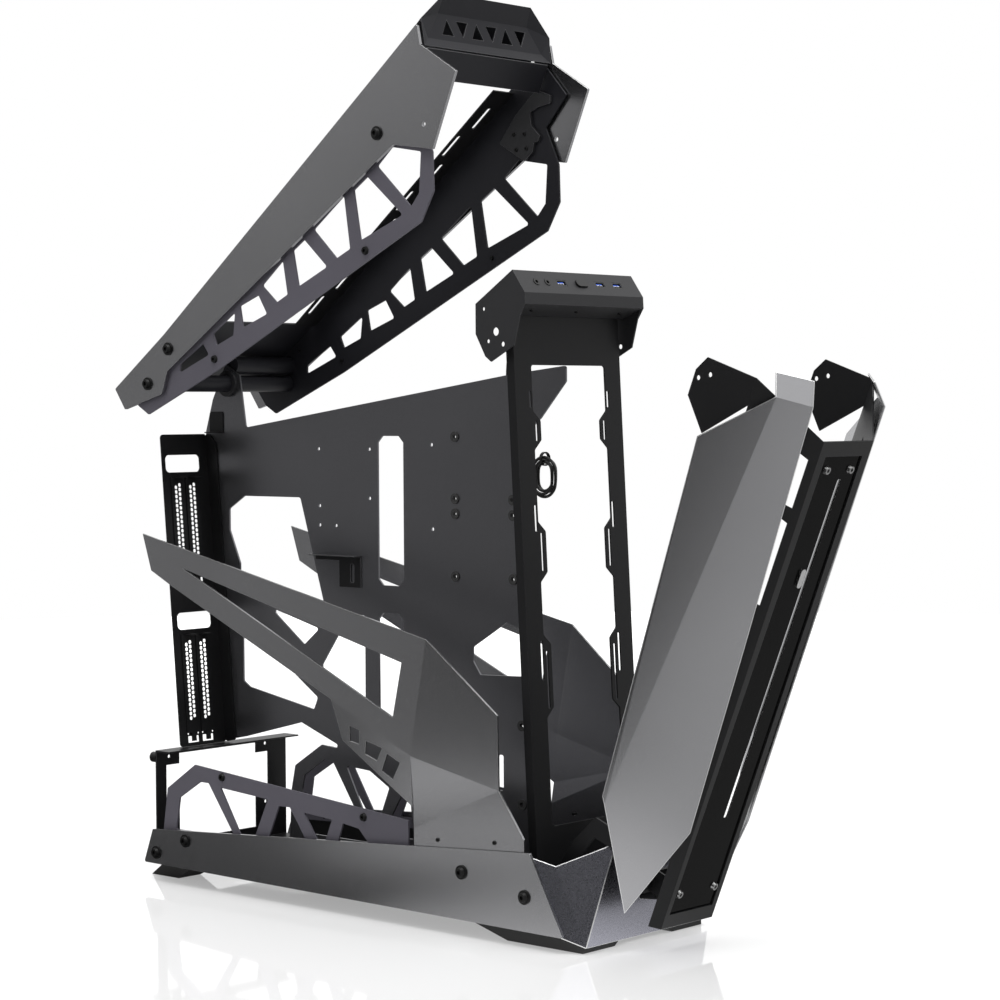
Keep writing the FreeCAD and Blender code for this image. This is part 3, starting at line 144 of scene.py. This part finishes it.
# %% Add any other node in one call
class Nodes:
    """A node tree that nodes are added to, for a material or for the world."""

    def __init__(self, tree):
        self.tree = tree

    def node(self, kind, settings=None, inputs=None):
        """A new node of a type, with its settings and then its sockets' values or links."""
        made = self.tree.nodes.new(kind)
        for word, value in (settings or {}).items():
            setattr(made, word, value)
        for word, value in (inputs or {}).items():
            self.feed(made.inputs[word], value)
        return made

    def feed(self, socket, value):
        if isinstance(value, Wave):
            self.tree.links.new(value.socket, socket)
        elif isinstance(value, bpy.types.NodeSocket):
            self.tree.links.new(value, socket)
        else:
            socket.default_value = value


print("one call adds a node with its settings and links")

# %% [markdown]
# ## Finishes
# Every finish starts from the Principled shader. Its patterns are read in Object coordinates,
# which are in metres and stay with a piece when its joint moves, so the grain has its real size
# and doesn't swim.


# %% One material under construction
class Finish(Nodes):
    """A material with its Principled shader, and the few patterns that the finishes share."""

    def __init__(self, name, **plain):
        self.material = bpy.data.materials.new(name)
        self.material.use_nodes = True
        super().__init__(self.material.node_tree)
        self.shader = self.tree.nodes["Principled BSDF"]
        for word, value in plain.items():
            self.shader.inputs[word.replace("_", " ")].default_value = value

    def place(self):
        return self.node("ShaderNodeTexCoord").outputs["Object"]

    def noise(self, scale, detail=2.0):
        """Cloudy noise with about scale clouds to the metre; detail adds finer octaves."""
        made = self.node("ShaderNodeTexNoise", None,
                         {"Vector": self.place(), "Scale": scale, "Detail": detail})
        return Wave(self, made.outputs[0])

    def ramp(self, wave, low, high):
        """Nought below low, one above high, with an even bend between them."""
        made = self.node("ShaderNodeMapRange", {"interpolation_type": "SMOOTHSTEP"},
                         {"Value": wave, "From Min": low, "From Max": high})
        return Wave(self, made.outputs[0])

    def mix(self, amount, low, high):
        """The low colour where the amount is nought, the high one where it is one."""
        made = self.node("ShaderNodeMix", {"data_type": "RGBA"}, {0: amount, 6: low, 7: high})
        return made.outputs[2]

    def bump(self, height, distance, strength):
        made = self.node("ShaderNodeBump", None,
                         {"Height": height, "Distance": distance, "Strength": strength})
        self.feed(self.shader.inputs["Normal"], made.outputs[0])

    def set(self, word, value):
        self.feed(self.shader.inputs[word], value)


print("a finish can", ", ".join(word for word in vars(Finish) if not word.startswith("_")))


# %% Greys are written as linear levels
def grey(level, blue=0.0, red=0.0):
    """A linear near-grey, with a little more blue or red."""
    return (level * (1 + red), level, level * (1 + blue), 1.0)


def grey_pair(level, swing, blue=0.0, red=0.0):
    """The darkest and the palest grey of a finish that swings by a share of its level."""
    return grey(level * (1 - swing), blue, red), grey(level * (1 + swing), blue, red)


WHITE = grey(1.0)
print("a middle grey is", grey(0.5))

# %% [markdown]
# ## Powder coat
# Most sheets are steel with a baked powder coat: a dark satin skin with a fine orange-peel
# grain, and flecks where the powder melted unevenly. Paint alone would look flat, so the grain
# goes into the bump and the flecks into colour and roughness, both well under a millimetre.

# %% Powder-coated sheets
FLECKS, COAT_CLOUDS, PEEL = 2600.0, 9.0, 1500.0
PEEL_DEPTH, PEEL_STRENGTH = 0.00012, 0.5
COAT_SWING = 0.28


def powder_coat(name, level, blue=0.0, red=0.0, rough=0.46, grain=1.0, gloss=0.3):
    """With f the flecks and c the clouds, both around 1/2, the colour follows (f + c) / 2 and the
    roughness is rough + 0.10 (c - 1/2) + 0.12 (f - 1/2)."""
    made = Finish(name, Metallic=0.0, Specular_IOR_Level=gloss)
    fleck = made.noise(FLECKS)
    cloud = made.noise(COAT_CLOUDS, 3.0)
    tone = fleck * 0.5 + cloud * 0.5
    made.set("Base Color", made.mix(tone, *grey_pair(level, COAT_SWING, blue, red)))
    made.set("Roughness", rough + (cloud - 0.5) * 0.10 + (fleck - 0.5) * 0.12)
    made.bump(made.noise(PEEL, 3.0), PEEL_DEPTH * grain, PEEL_STRENGTH)
    return made.material


charcoal = powder_coat("charcoal_coat", 0.028, blue=0.08, gloss=0.4)
black_coat = powder_coat("black_coat", 0.015, blue=0.06, rough=0.38, gloss=0.2)
violet_coat = powder_coat("violet_grey_coat", 0.120, blue=0.20, red=0.05, rough=0.50)
# The dark coat is the own colour of the arm cap, the arm's panels and its tubes; on the right arm
# truss, a violet-grey part like the left one, it is painted shade.
deep_coat_and_painted_shade = powder_coat("deep_coat_and_painted_shade", 0.020, blue=0.20, rough=0.42, gloss=0.25)
gloss_black = powder_coat("gloss_black", 0.004, rough=0.12, grain=0.15, gloss=0.04)
# Painted highlight: a coat much paler than the sheets it edges, laid on their bevels so that the
# edges look lit.
painted_edge_highlight = powder_coat("painted_edge_highlight", 0.11, blue=0.05, rough=0.34, gloss=0.6)
print("powder coats:", charcoal.name, black_coat.name, violet_coat.name, deep_coat_and_painted_shade.name)

# %% [markdown]
# ## Bead-blasted aluminium
# The big outer plates, skirts and wings are aluminium, blasted to a fine even grain and then
# anodised grey. Such a skin mirrors large soft shapes as slow gradients, and sparkles a little
# close to. A metallic shader with a grey base and a moderate roughness does that, and the blasting
# is a very fine bump.

# %% Anodised plates and their machined edges
METAL_CLOUDS, BLASTING = 6.0, 2200.0
BLAST_DEPTH, BLAST_STRENGTH = 0.00006, 0.6


def anodised(name, level, rough, metal, blue=0.0, grain=3400.0, swing=0.30):
    """With s the sparkle and c the clouds, both around 1/2, the colour follows 0.7 s + 0.3 c and
    the roughness is rough + 0.16 (s - 1/2)."""
    made = Finish(name, Metallic=metal)
    sparkle = made.noise(grain, 1.0)
    cloud = made.noise(METAL_CLOUDS, 2.0)
    tone = sparkle * 0.7 + cloud * 0.3
    made.set("Base Color", made.mix(tone, *grey_pair(level, swing, blue)))
    made.set("Roughness", rough + (sparkle - 0.5) * 0.16)
    made.bump(made.noise(BLASTING, 2.0), BLAST_DEPTH, BLAST_STRENGTH)
    return made.material


gunmetal = anodised("gunmetal_anodised", 0.38, rough=0.24, metal=0.96, blue=0.03)
nose_metal = anodised("nose_anodised", 0.33, rough=0.28, metal=1.0, blue=0.14, grain=1100.0,
                      swing=0.60)
tray_skin = anodised("tray_anodised", 0.20, rough=0.30, metal=0.88, blue=0.06)
# On the gloss black inner plate this bare-metal edge is a painted highlight along the rim.
bright_edge = anodised("machined_edge_and_painted_rim", 0.80, rough=0.30, metal=0.9)
print("anodised:", gunmetal.name, nose_metal.name, tray_skin.name, bright_edge.name)

# %% [markdown]
# ## Screws, rubber and plastics
# Screws are steel with a black oxide skin, smoother than the sheets, so that the rims of their
# heads catch the lamps. Rubber is dull and even. The port tongues are moulded in a clear blue.
# One recipe serves all of them: a cloud of fine noise moves the colour, roughness and bump.

# %% Small-part finishes
SMALL_GRAIN = 900.0
SMALL_DEPTH, SMALL_STRENGTH = 0.00003, 0.4
SMALL_SWING = 0.18


def moulded(name, color, rough, metal=0.0):
    """With c the clouds, around 1/2, the colour swings with c and the roughness is
    rough + 0.15 (c - 1/2)."""
    made = Finish(name, Metallic=metal)
    cloud = made.noise(SMALL_GRAIN)
    low = tuple((1 - SMALL_SWING) * part for part in color[:3]) + (1.0,)
    high = tuple(min(1.0, (1 + SMALL_SWING) * part) for part in color[:3]) + (1.0,)
    made.set("Base Color", made.mix(cloud, low, high))
    made.set("Roughness", rough + (cloud - 0.5) * 0.15)
    made.bump(cloud, SMALL_DEPTH, SMALL_STRENGTH)
    return made.material


oxide = moulded("black_oxide", grey(0.016), 0.36, metal=0.5)
dome_steel = moulded("dark_steel", grey(0.30), 0.16, metal=0.95)
stud_steel = moulded("bright_steel", grey(0.55), 0.24, metal=0.95)
rubber = moulded("rubber", grey(0.045), 0.72)
jack_plastic = moulded("black_plastic", grey(0.010), 0.38)
blue_plastic = moulded("blue_plastic", (0.03, 0.11, 0.62, 1.0), 0.35)
port_steel = moulded("port_shell", grey(0.10), 0.30, metal=0.9)
contact_metal = moulded("contact_metal", grey(0.75), 0.25, metal=1.0)
jacket = moulded("cable_jacket", grey(0.014), 0.30)
print(len(bpy.data.materials), "materials so far")

# %% [markdown]
# ## Plates with broken edges
# A cut plate never has a knife edge: the blank is tumbled or machined, and on the aluminium plates
# that thin chamfer is bare bright metal. The packed solids have sharp edges, so each plate is
# copied, its loose triangles are merged and its flat faces are joined again, and a narrow bevel
# with a material of its own is laid on every edge that turns by more than fifty degrees. On most
# of the other sheets that material is a paler coat, a painted highlight along their edges, and on
# the gloss black inner plate the bare bright metal is a painted highlight on its rim. The faces
# stay flat: a folded sheet shows its folds only where each facet keeps a tone of its own.

# %% Copy a sheet and break its edges
EDGE_TURN = math.radians(50)
ONE_FACE = math.radians(0.2)
SAME_POINT = 2e-6
MACHINED_WIDTH, COATED_WIDTH = 0.0007, 0.0004


def dressed(node, finish, edge):
    """A copy of a packed sheet with a narrow bevel on its edges, in place of the plain solid."""
    source = frame["nodes"][node]
    mesh = source.data.copy()
    mesh.name = f"{node}_dressed"
    body = bmesh.new()
    body.from_mesh(mesh)
    bmesh.ops.remove_doubles(body, verts=body.verts, dist=SAME_POINT)
    bmesh.ops.dissolve_limit(body, angle_limit=ONE_FACE, verts=body.verts, edges=body.edges)
    body.to_mesh(mesh)
    body.free()
    piece = placed(f"{node}_dressed", mesh)
    mesh.materials.clear()
    mesh.materials.append(finish)
    mesh.materials.append(edge)
    mesh.polygons.foreach_set("material_index", np.zeros(len(mesh.polygons), np.int32))
    mesh.shade_flat()
    bevel = piece.modifiers.new("edges", "BEVEL")
    bevel.width = MACHINED_WIDTH if edge is bright_edge else COATED_WIDTH
    bevel.segments = 2
    bevel.limit_method = "ANGLE"
    bevel.angle_limit = EDGE_TURN
    # The bevel takes the edge finish: bare metal on the aluminium plates, the face's own coat on
    # the trusses, and a painted highlight on the other sheets and on the gloss black inner plate.
    bevel.material = 1
    bevel.use_clamp_overlap = True
    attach(piece, source["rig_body"])
    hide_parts(node)


# %% Dress the sheets
# The second finish of each pair goes on the bevels; the pale edge coat there is a painted highlight
# along the edges.
PLATES = {
    "left_arm_plate": (gunmetal, bright_edge), "right_arm_plate": (gunmetal, bright_edge),
    "left_skirt": (gunmetal, bright_edge), "right_skirt": (gunmetal, bright_edge),
    "left_side_wing": (gunmetal, bright_edge), "right_side_wing": (gunmetal, bright_edge),
    "left_front_wing": (gunmetal, bright_edge), "right_front_wing": (gunmetal, bright_edge),
    "nose_plate": (nose_metal, bright_edge), "arm_cap": (deep_coat_and_painted_shade, painted_edge_highlight),
    "motherboard_tray": (tray_skin, painted_edge_highlight), "io_cover": (charcoal, painted_edge_highlight),
    "io_tower": (black_coat, painted_edge_highlight), "front_frame": (black_coat, painted_edge_highlight),
    # Painted highlight: the gloss black inner plate takes the bright bare-metal edge as a lit rim.
    "front_inner_plate": (gloss_black, bright_edge), "rear_slot_plate": (black_coat, painted_edge_highlight),
    "latch_hook": (charcoal, painted_edge_highlight), "arm_nose_panel": (deep_coat_and_painted_shade, painted_edge_highlight),
    # Painted shade: the right arm truss is the same violet-grey part as the left one, and takes the
    # dark coat for the shade on its inner side.
    "left_arm_truss": (violet_coat, violet_coat), "right_arm_truss": (deep_coat_and_painted_shade, painted_edge_highlight),
    "left_base_truss": (violet_coat, violet_coat), "right_base_truss": (violet_coat, violet_coat),
    "psu_frame": (black_coat, painted_edge_highlight), "tray_bracket": (black_coat, painted_edge_highlight),
}
for node, (finish, edge) in PLATES.items():
    dressed(node, finish, edge)
print(len(PLATES), "sheets dressed")

# %% [markdown]
# ## Finishes on the remaining solids
# The other nodes have the right shape already. Each keeps its mesh and gets a finish.

# %% Paint the nodes
PAINT = {
    charcoal: ["base_vent", "hinge_collar"],
    black_coat: ["base_pan", "slot_cover_1", "slot_cover_2", "slot_cover_3", "slot_cover_4",
                 "hinge_yoke", "front_pivot_rod", "left_fan_rail", "right_fan_rail",
                 "hinge_stop", "io_board", "button_switch"],
    deep_coat_and_painted_shade: ["hinge_tube", "arm_cross_tube", "arm_rear_panel"],
    rubber: ["left_rear_foot", "right_rear_foot", "front_foot", "tray_grommets"],
    oxide: ["skirt_bolts", "base_truss_bolts", "psu_thumbscrews", "io_cover_screws",
            "wing_screws", "arm_screws", "front_wing_screws"],
    dome_steel: ["front_screws"],
    stud_steel: ["front_stud"],
    jack_plastic: ["audio_jacks", "power_button", "cable_tie"],
    port_steel: ["usb_ports"],
}
for finish, names in PAINT.items():
    for name in names:
        mesh = frame["nodes"][name].data
        mesh.materials.clear()
        mesh.materials.append(finish)
painted = {name for names in PAINT.values() for name in names}
print("nodes still to be replaced:", sorted(set(frame["nodes"]) - set(PLATES) - painted))

# %% [markdown]
# ## The panel lead
# A thin round lead leaves the port board at the top of the front tower, drops behind it, and hangs
# in a small hank held by a tie. It is one spline. Its control points follow the lead's route in the
# CAD model down to the hank; there the strands run round a stadium: half a turn up or down is a
# semicircle, with a straight stretch between. Each turn shifts a fifth of the way round the
# bundle's own cross-section, so the four turns lie side by side and touch nowhere. The end goes
# down behind the tower's strip, where the photograph doesn't show it.

# %% The route and the hank
HANK_CENTRE = np.array((0.0145, -0.0717, 0.4280))
HANK_TURNS, POINTS_PER_TURN = 4, 14
TURN_RADIUS, STRAIGHT, STRAND_SPREAD = 12.7, 4.3, 3.1


def hank_points():
    """Point k has t = -(k + 1/2) 2 pi / n round the stadium and f = pi/2 + k 2 pi / (5 n) round the
    bundle: with r = radius + spread sin f, it is (spread cos f, r cos t, r sin t + straight
    sign(sin t)) from the centre, in millimetres."""
    k = np.arange(HANK_TURNS * POINTS_PER_TURN)
    t = -(k + 0.5) * 2 * np.pi / POINTS_PER_TURN
    f = np.pi / 2 + 2 * np.pi / 5 * k / POINTS_PER_TURN
    r = TURN_RADIUS + STRAND_SPREAD * np.sin(f)
    rise = r * np.sin(t) + STRAIGHT * np.sign(np.sin(t))
    return HANK_CENTRE + np.stack([STRAND_SPREAD * np.cos(f), r * np.cos(t), rise], axis=-1) / 1000


LEAD_EXIT = (-0.0500, -0.11713, 0.60260)
LEAD_DOWN = [LEAD_EXIT, (-0.0500, -0.10737, 0.59562), (-0.0440, -0.0887, 0.5900),
             (-0.0220, -0.0587, 0.5840), (0.0020, -0.0377, 0.5740), (0.0130, -0.0287, 0.5560),
             (0.0140, -0.0247, 0.5350), (0.0145, -0.0237, 0.5150), (0.0150, -0.0317, 0.4950),
             (0.0150, -0.0477, 0.4780), (0.0150, -0.0548, 0.4670), (0.0149, -0.0570, 0.4560),
             (0.0147, -0.0560, 0.4420)]
LEAD_END = [(0.0196, -0.0575, 0.4270), (0.0202, -0.0540, 0.4160), (0.0195, -0.0500, 0.4030),
            (0.0185, -0.0475, 0.3930), (0.0180, -0.0465, 0.3860)]
route = np.vstack([LEAD_DOWN, hank_points(), LEAD_END])
print("the lead's spline has", len(route), "control points")

# %% The lead itself
LEAD_WIDTH = 0.003


def spline_tube(name, points, width, finish):
    data = bpy.data.curves.new(name, "CURVE")
    data.dimensions = "3D"
    line = data.splines.new("NURBS")
    line.points.add(len(points) - 1)
    line.points.foreach_set("co", np.column_stack([points, np.ones(len(points))]).ravel())
    line.order_u = 3
    line.use_endpoint_u = True
    data.resolution_u = 4
    data.bevel_depth = width / 2
    data.bevel_resolution = 3
    data.use_fill_caps = True
    data.materials.append(finish)
    return placed(name, data), line.calc_length()


lead, lead_length = spline_tube("panel_lead", route, LEAD_WIDTH, jacket)
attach(lead, "chassis")
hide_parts("panel_cable")
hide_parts("cable_coil")
print("the lead is", round(lead_length, 4), "m long")

# %% [markdown]
# ## Small rounded bodies
# Tongues, contacts and the lead's connector are all small bricks with rounded edges. A
# superellipsoid makes such a brick from two angles: cosines and sines are raised to a small power,
# which pushes the round shape out towards its box.

# %% Rounded bricks from one formula
BRICK_ROWS, BRICK_COLUMNS = 11, 32
UPRIGHT = ((1, 0, 0), (0, 1, 0), (0, 0, 1))


def brick(name, finish, centre, halves, axes=UPRIGHT, power=0.3):
    """With c(a) = sign(cos a) |cos a|^power and s(a) likewise, the surface is
    (c(v) c(u), c(v) s(u), s(v)) times the halves along the three axes, for u round and v up."""
    u = np.linspace(0, 2 * np.pi, BRICK_COLUMNS, endpoint=False)
    v = np.linspace(-np.pi / 2, np.pi / 2, BRICK_ROWS + 2)[1:-1]
    v, u = np.meshgrid(v, u, indexing="ij")

    def bent(wave):
        return np.sign(wave) * np.abs(wave) ** power

    ring = np.stack([bent(np.cos(v)) * bent(np.cos(u)), bent(np.cos(v)) * bent(np.sin(u)),
                     bent(np.sin(v))], axis=-1).reshape(-1, 3)
    local = np.vstack([ring, [(0, 0, -1), (0, 0, 1)]]) * np.array(halves)
    points = local @ np.array(axes, float) + np.array(centre)
    around = np.arange(BRICK_COLUMNS)
    after = (around + 1) % BRICK_COLUMNS
    starts = np.arange(BRICK_ROWS - 1)[:, None] * BRICK_COLUMNS
    low, side = (starts + around).ravel(), (starts + after).ravel()
    quads = np.stack([low, side, side + BRICK_COLUMNS, low + BRICK_COLUMNS], axis=-1)
    top, pole = (BRICK_ROWS - 1) * BRICK_COLUMNS, np.full(BRICK_COLUMNS, len(ring))
    foot = np.stack([after, around, pole], axis=-1)
    crown = np.stack([top + around, top + after, pole + 1], axis=-1)
    mesh = bpy.data.meshes.new(name)
    mesh.from_pydata(points.tolist(), [], quads.tolist() + foot.tolist() + crown.tolist())
    mesh.materials.append(finish)
    mesh.shade_smooth()
    piece = placed(name, mesh)
    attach(piece, "chassis")
    return piece


print("a brick has", BRICK_ROWS * BRICK_COLUMNS + 2, "points")

# %% The connector at the lead's end
CONNECTOR_PLACE = (0.0180, -0.0464, 0.3810)
CONNECTOR = (0.0045, 0.0026, 0.0062)

plug = brick("lead_connector", jack_plastic, CONNECTOR_PLACE, CONNECTOR)
print("the connector is", round(2000 * CONNECTOR[2], 1), "mm long")

# %% [markdown]
# ## Ports
# The three ports on the sloped face of the cover are open shells in the CAD model. In each stands
# a blue tongue with four bright contacts, which a camera sees only when it looks straight in, so
# plain bricks laid along the slope are enough.

# %% Tongues and contacts in the three ports
SLOPE = np.array((0.0, -0.8137, 0.5812))
DOWN = np.array((0.0, -0.5812, -0.8137))
ACROSS = np.array((1.0, 0.0, 0.0))
PORT_FACE_Y, PORT_FACE_Z = -128.2, 610.5
PORTS = (-25.5, 30.7, 56.2)
PINS = (-3.4, -1.15, 1.15, 3.4)
TONGUE, TONGUE_PLACE = (0.0009, 0.0048, 0.0046), (5.6, -0.7)
CONTACT, CONTACT_PLACE = (0.0005, 0.0007, 0.0026), (3.4, 0.45)


def slope_place(x, behind, lower):
    """A point of the sloped port face, in mm: x across, a depth behind the face, a way down it."""
    start = np.array((x, PORT_FACE_Y, PORT_FACE_Z))
    return (start - SLOPE * behind + DOWN * lower) / 1000


for number, x in enumerate(PORTS, 1):
    brick(f"port_tongue_{number}", blue_plastic,
          slope_place(x, *TONGUE_PLACE), TONGUE, (DOWN, ACROSS, SLOPE), power=0.2)
    for pin, step in enumerate(PINS, 1):
        brick(f"port_contact_{number}_{pin}", contact_metal,
              slope_place(x + step, *CONTACT_PLACE), CONTACT, (DOWN, ACROSS, SLOPE))
print(len(PORTS), "tongues with", len(PINS), "contacts each")

# %% [markdown]
# ## Studio
# The case stands on a white gloss floor in front of a white sweep, in a room that is dark
# elsewhere. Metal shows what it faces, so each fold gets a tone of its own from the room. The room
# is a curved wall that the camera doesn't see, open towards the sweep, and for mirrors the floor
# and the wall carry soft cards: a pale one at the left rear with a brighter strip high above it,
# a bright half in front, and two bright patches on the floor beside the case for the facets that
# lean down. Only mirrors see the cards; they light nothing.

# %% What the plates mirror
LEFT_PLATES = -0.11
ROOM_LEVEL, REAR_LEVEL, HIGH_LEVEL, FRONT_LEVEL = 0.09, 0.20, 0.22, 0.55
REAR_TANGENTS, REAR_LEFT = (0.80, 0.97), (0.35, 0.9)
HIGH_UP, HIGH_BACK = (0.8, 1.5), (1.5, 2.3)
FRONT_SOFTNESS = 0.12
PATCHES = ((-0.55, 0.27, 0.28, 0.80), (-0.20, -0.14, 0.30, 0.60))


def cards(made):
    """Brightness at (x, y, z). With q = y / (-0.11 - x), the tangent of the direction seen from the
    left plates, and s the distance in front of a line through (-0.45, -0.65), it is the room's
    level plus smooth steps in q, in z and in s, and round patches (x, y, radius, brightness) that
    fall off with the squared distance."""
    parts = made.node("ShaderNodeSeparateXYZ", None, {0: made.place()}).outputs
    x, y, z = (Wave(made, part) for part in parts)
    rear = made.ramp(y / (LEFT_PLATES - x), *REAR_TANGENTS) * made.ramp(0.0 - x, *REAR_LEFT)
    high = made.ramp(z, *HIGH_UP) * made.ramp(y, *HIGH_BACK)
    line = (x + 0.45) * 0.832 - (y + 0.65) * 0.555
    front = made.ramp(line, -FRONT_SOFTNESS, FRONT_SOFTNESS)
    light = ROOM_LEVEL + rear * REAR_LEVEL + high * HIGH_LEVEL + front * FRONT_LEVEL
    for over, along, size, strength in PATCHES:
        far = (x - over) * (x - over) + (y - along) * (y - along)
        light = light + (1.0 - made.ramp(far, 0.0, size * size)) * strength
    return light


def seen_by_mirrors(made, surface):
    """Mix a surface with the cards: mirrors see the cards, everything else the surface."""
    card = made.node("ShaderNodeEmission", None, {"Color": cards(made), "Strength": 1.0})
    ray = made.node("ShaderNodeLightPath").outputs["Is Glossy Ray"]
    both = made.node("ShaderNodeMixShader", None, {0: ray, 1: surface, 2: card.outputs[0]})
    made.feed(made.tree.nodes["Material Output"].inputs["Surface"], both.outputs[0])


print("cards ready for the floor and the wall")

# %% [markdown]
# ## Floor
# The floor is a white gloss sheet that mirrors the case faintly. For the camera it glows a little,
# and more with the distance, so that it runs into the white of the sweep without a line, and the
# shadow under the case still shows. It is a disc as wide as the room.

# %% A pale floor with a faint mirror
FLOOR_WHITE = grey(0.80)
FLOOR_GLOW, GLOW_RISE, GLOW_SQUARES = 0.53, 1.6, (1.2, 8.0)
MIRROR_SHARE, MIRROR_ROUGHNESS = 0.33, 0.05


def floor_finish():
    """The glow is 0.53 (1 + 1.6 ramp(x^2 + y^2, 1.2, 8)) for camera rays and nought for others."""
    made = Finish("studio_floor")
    made.tree.nodes.remove(made.shader)
    ray = made.node("ShaderNodeLightPath").outputs["Is Camera Ray"]
    matt = made.node("ShaderNodeBsdfDiffuse", None, {"Color": FLOOR_WHITE})
    parts = made.node("ShaderNodeSeparateXYZ", None, {0: made.place()}).outputs
    x, y = Wave(made, parts[0]), Wave(made, parts[1])
    paler = 1.0 + made.ramp(x * x + y * y, *GLOW_SQUARES) * GLOW_RISE
    glow = made.node("ShaderNodeEmission", None,
                     {"Color": paler, "Strength": Wave(made, ray) * FLOOR_GLOW})
    lit = made.node("ShaderNodeAddShader", None, {0: matt.outputs[0], 1: glow.outputs[0]})
    mirror = made.node("ShaderNodeBsdfGlossy", None,
                       {"Color": WHITE, "Roughness": MIRROR_ROUGHNESS})
    both = made.node("ShaderNodeMixShader", None,
                     {0: MIRROR_SHARE, 1: lit.outputs[0], 2: mirror.outputs[0]})
    seen_by_mirrors(made, both.outputs[0])
    return made.material


floor_coat = floor_finish()
print("the floor's finish has", len(floor_coat.node_tree.nodes), "nodes")

# %% A round floor
ROOM_RADIUS = 3.7
FLOOR_SIDES = 96

floor_mesh = bpy.data.meshes.new("floor")
angles = np.linspace(0, 2 * np.pi, FLOOR_SIDES, endpoint=False)
rim = ROOM_RADIUS * np.stack([np.cos(angles), np.sin(angles), 0 * angles], axis=-1)
floor_mesh.from_pydata(rim.tolist(), [], [tuple(range(FLOOR_SIDES))])
floor_mesh.materials.append(floor_coat)
floor = placed("floor", floor_mesh)
print("the floor is", 2 * ROOM_RADIUS, "m wide")

# %% [markdown]
# ## Wall
# The dark part of the room is one curved sheet on the floor's rim. The camera looks through it,
# and only the plates need it, so two rows of points are enough.

# %% The dark part of the room
WALL_FIRST, WALL_LAST, WALL_HEIGHT = 98.0, 352.0, 2.3
WALL_PANELS = 48
WALL_CLOUDS, WALL_DARK, WALL_PALE = 0.5, 0.05, 0.09


def curved_wall(name, finish):
    """A point at turn a and height h is (radius cos a, radius sin a, h), from first to last."""
    angles = np.radians(np.linspace(WALL_FIRST, WALL_LAST, WALL_PANELS + 1))
    a, h = np.meshgrid(angles, np.array([0.0, WALL_HEIGHT]), indexing="ij")
    points = np.stack([ROOM_RADIUS * np.cos(a), ROOM_RADIUS * np.sin(a), h], axis=-1)
    low = np.arange(WALL_PANELS) * 2
    faces = np.stack([low, low + 1, low + 3, low + 2], axis=-1)
    mesh = bpy.data.meshes.new(name)
    mesh.from_pydata(points.reshape(-1, 3).tolist(), [], faces.tolist())
    mesh.materials.append(finish)
    wall = placed(name, mesh)
    wall.visible_camera = False


def wall_finish():
    made = Finish("room_wall", Roughness=0.9, Specular_IOR_Level=0.0)
    made.set("Base Color", made.mix(made.noise(WALL_CLOUDS), grey(WALL_DARK), grey(WALL_PALE)))
    seen_by_mirrors(made, made.shader.outputs[0])
    return made.material


curved_wall("room_wall", wall_finish())
print("the wall leaves", 360 - (WALL_LAST - WALL_FIRST), "degrees open")

# %% [markdown]
# ## World and lamps
# The world is white for the camera, for mirrors and through glass, and dimmer as a lamp. Three
# soft lamps add the gradients: one overhead, which the plates mirror, and two weaker ones at the
# left rear and in front, which mirrors don't see.

# %% A white world that lights less than it shows
WORLD_LIGHT = 0.60

world = bpy.data.worlds.new("studio")
bpy.context.scene.world = world
world.use_nodes = True
sky = Nodes(world.node_tree)
rays = sky.node("ShaderNodeLightPath").outputs
seen = rays["Is Camera Ray"]
for kind in ("Is Glossy Ray", "Is Transmission Ray"):
    largest = sky.node("ShaderNodeMath", {"operation": "MAXIMUM"}, {0: seen, 1: rays[kind]})
    seen = largest.outputs[0]
level = sky.node("ShaderNodeMapRange", None, {"Value": seen, "To Min": WORLD_LIGHT, "To Max": 1.0})
background = world.node_tree.nodes["Background"]
sky.feed(background.inputs["Strength"], level.outputs[0])
sky.feed(background.inputs["Color"], WHITE)
print("the world lights at", WORLD_LIGHT)

# %% Three soft lamps
LAMP_AIM = Vector((0.0, 0.0, 0.4))


def softbox(name, place, size, power, mirrored):
    lamp = bpy.data.lights.new(name, "AREA")
    lamp.shape = "RECTANGLE"
    lamp.size, lamp.size_y = size
    lamp.energy = power
    holder = placed(name, lamp)
    towards = (LAMP_AIM - Vector(place)).to_track_quat("-Z", "Y")
    holder.matrix_world = Matrix.Translation(place) @ towards.to_matrix().to_4x4()
    holder.visible_camera = False
    holder.visible_glossy = mirrored


softbox("overhead", (-0.2, -0.4, 2.6), (2.4, 1.8), 44.0, mirrored=True)
softbox("left_side", (-2.5, 1.7, 0.9), (1.0, 1.4), 14.0, mirrored=False)
softbox("front_side", (-0.6, -3.0, 1.4), (1.2, 1.2), 8.0, mirrored=False)
print("studio ready")
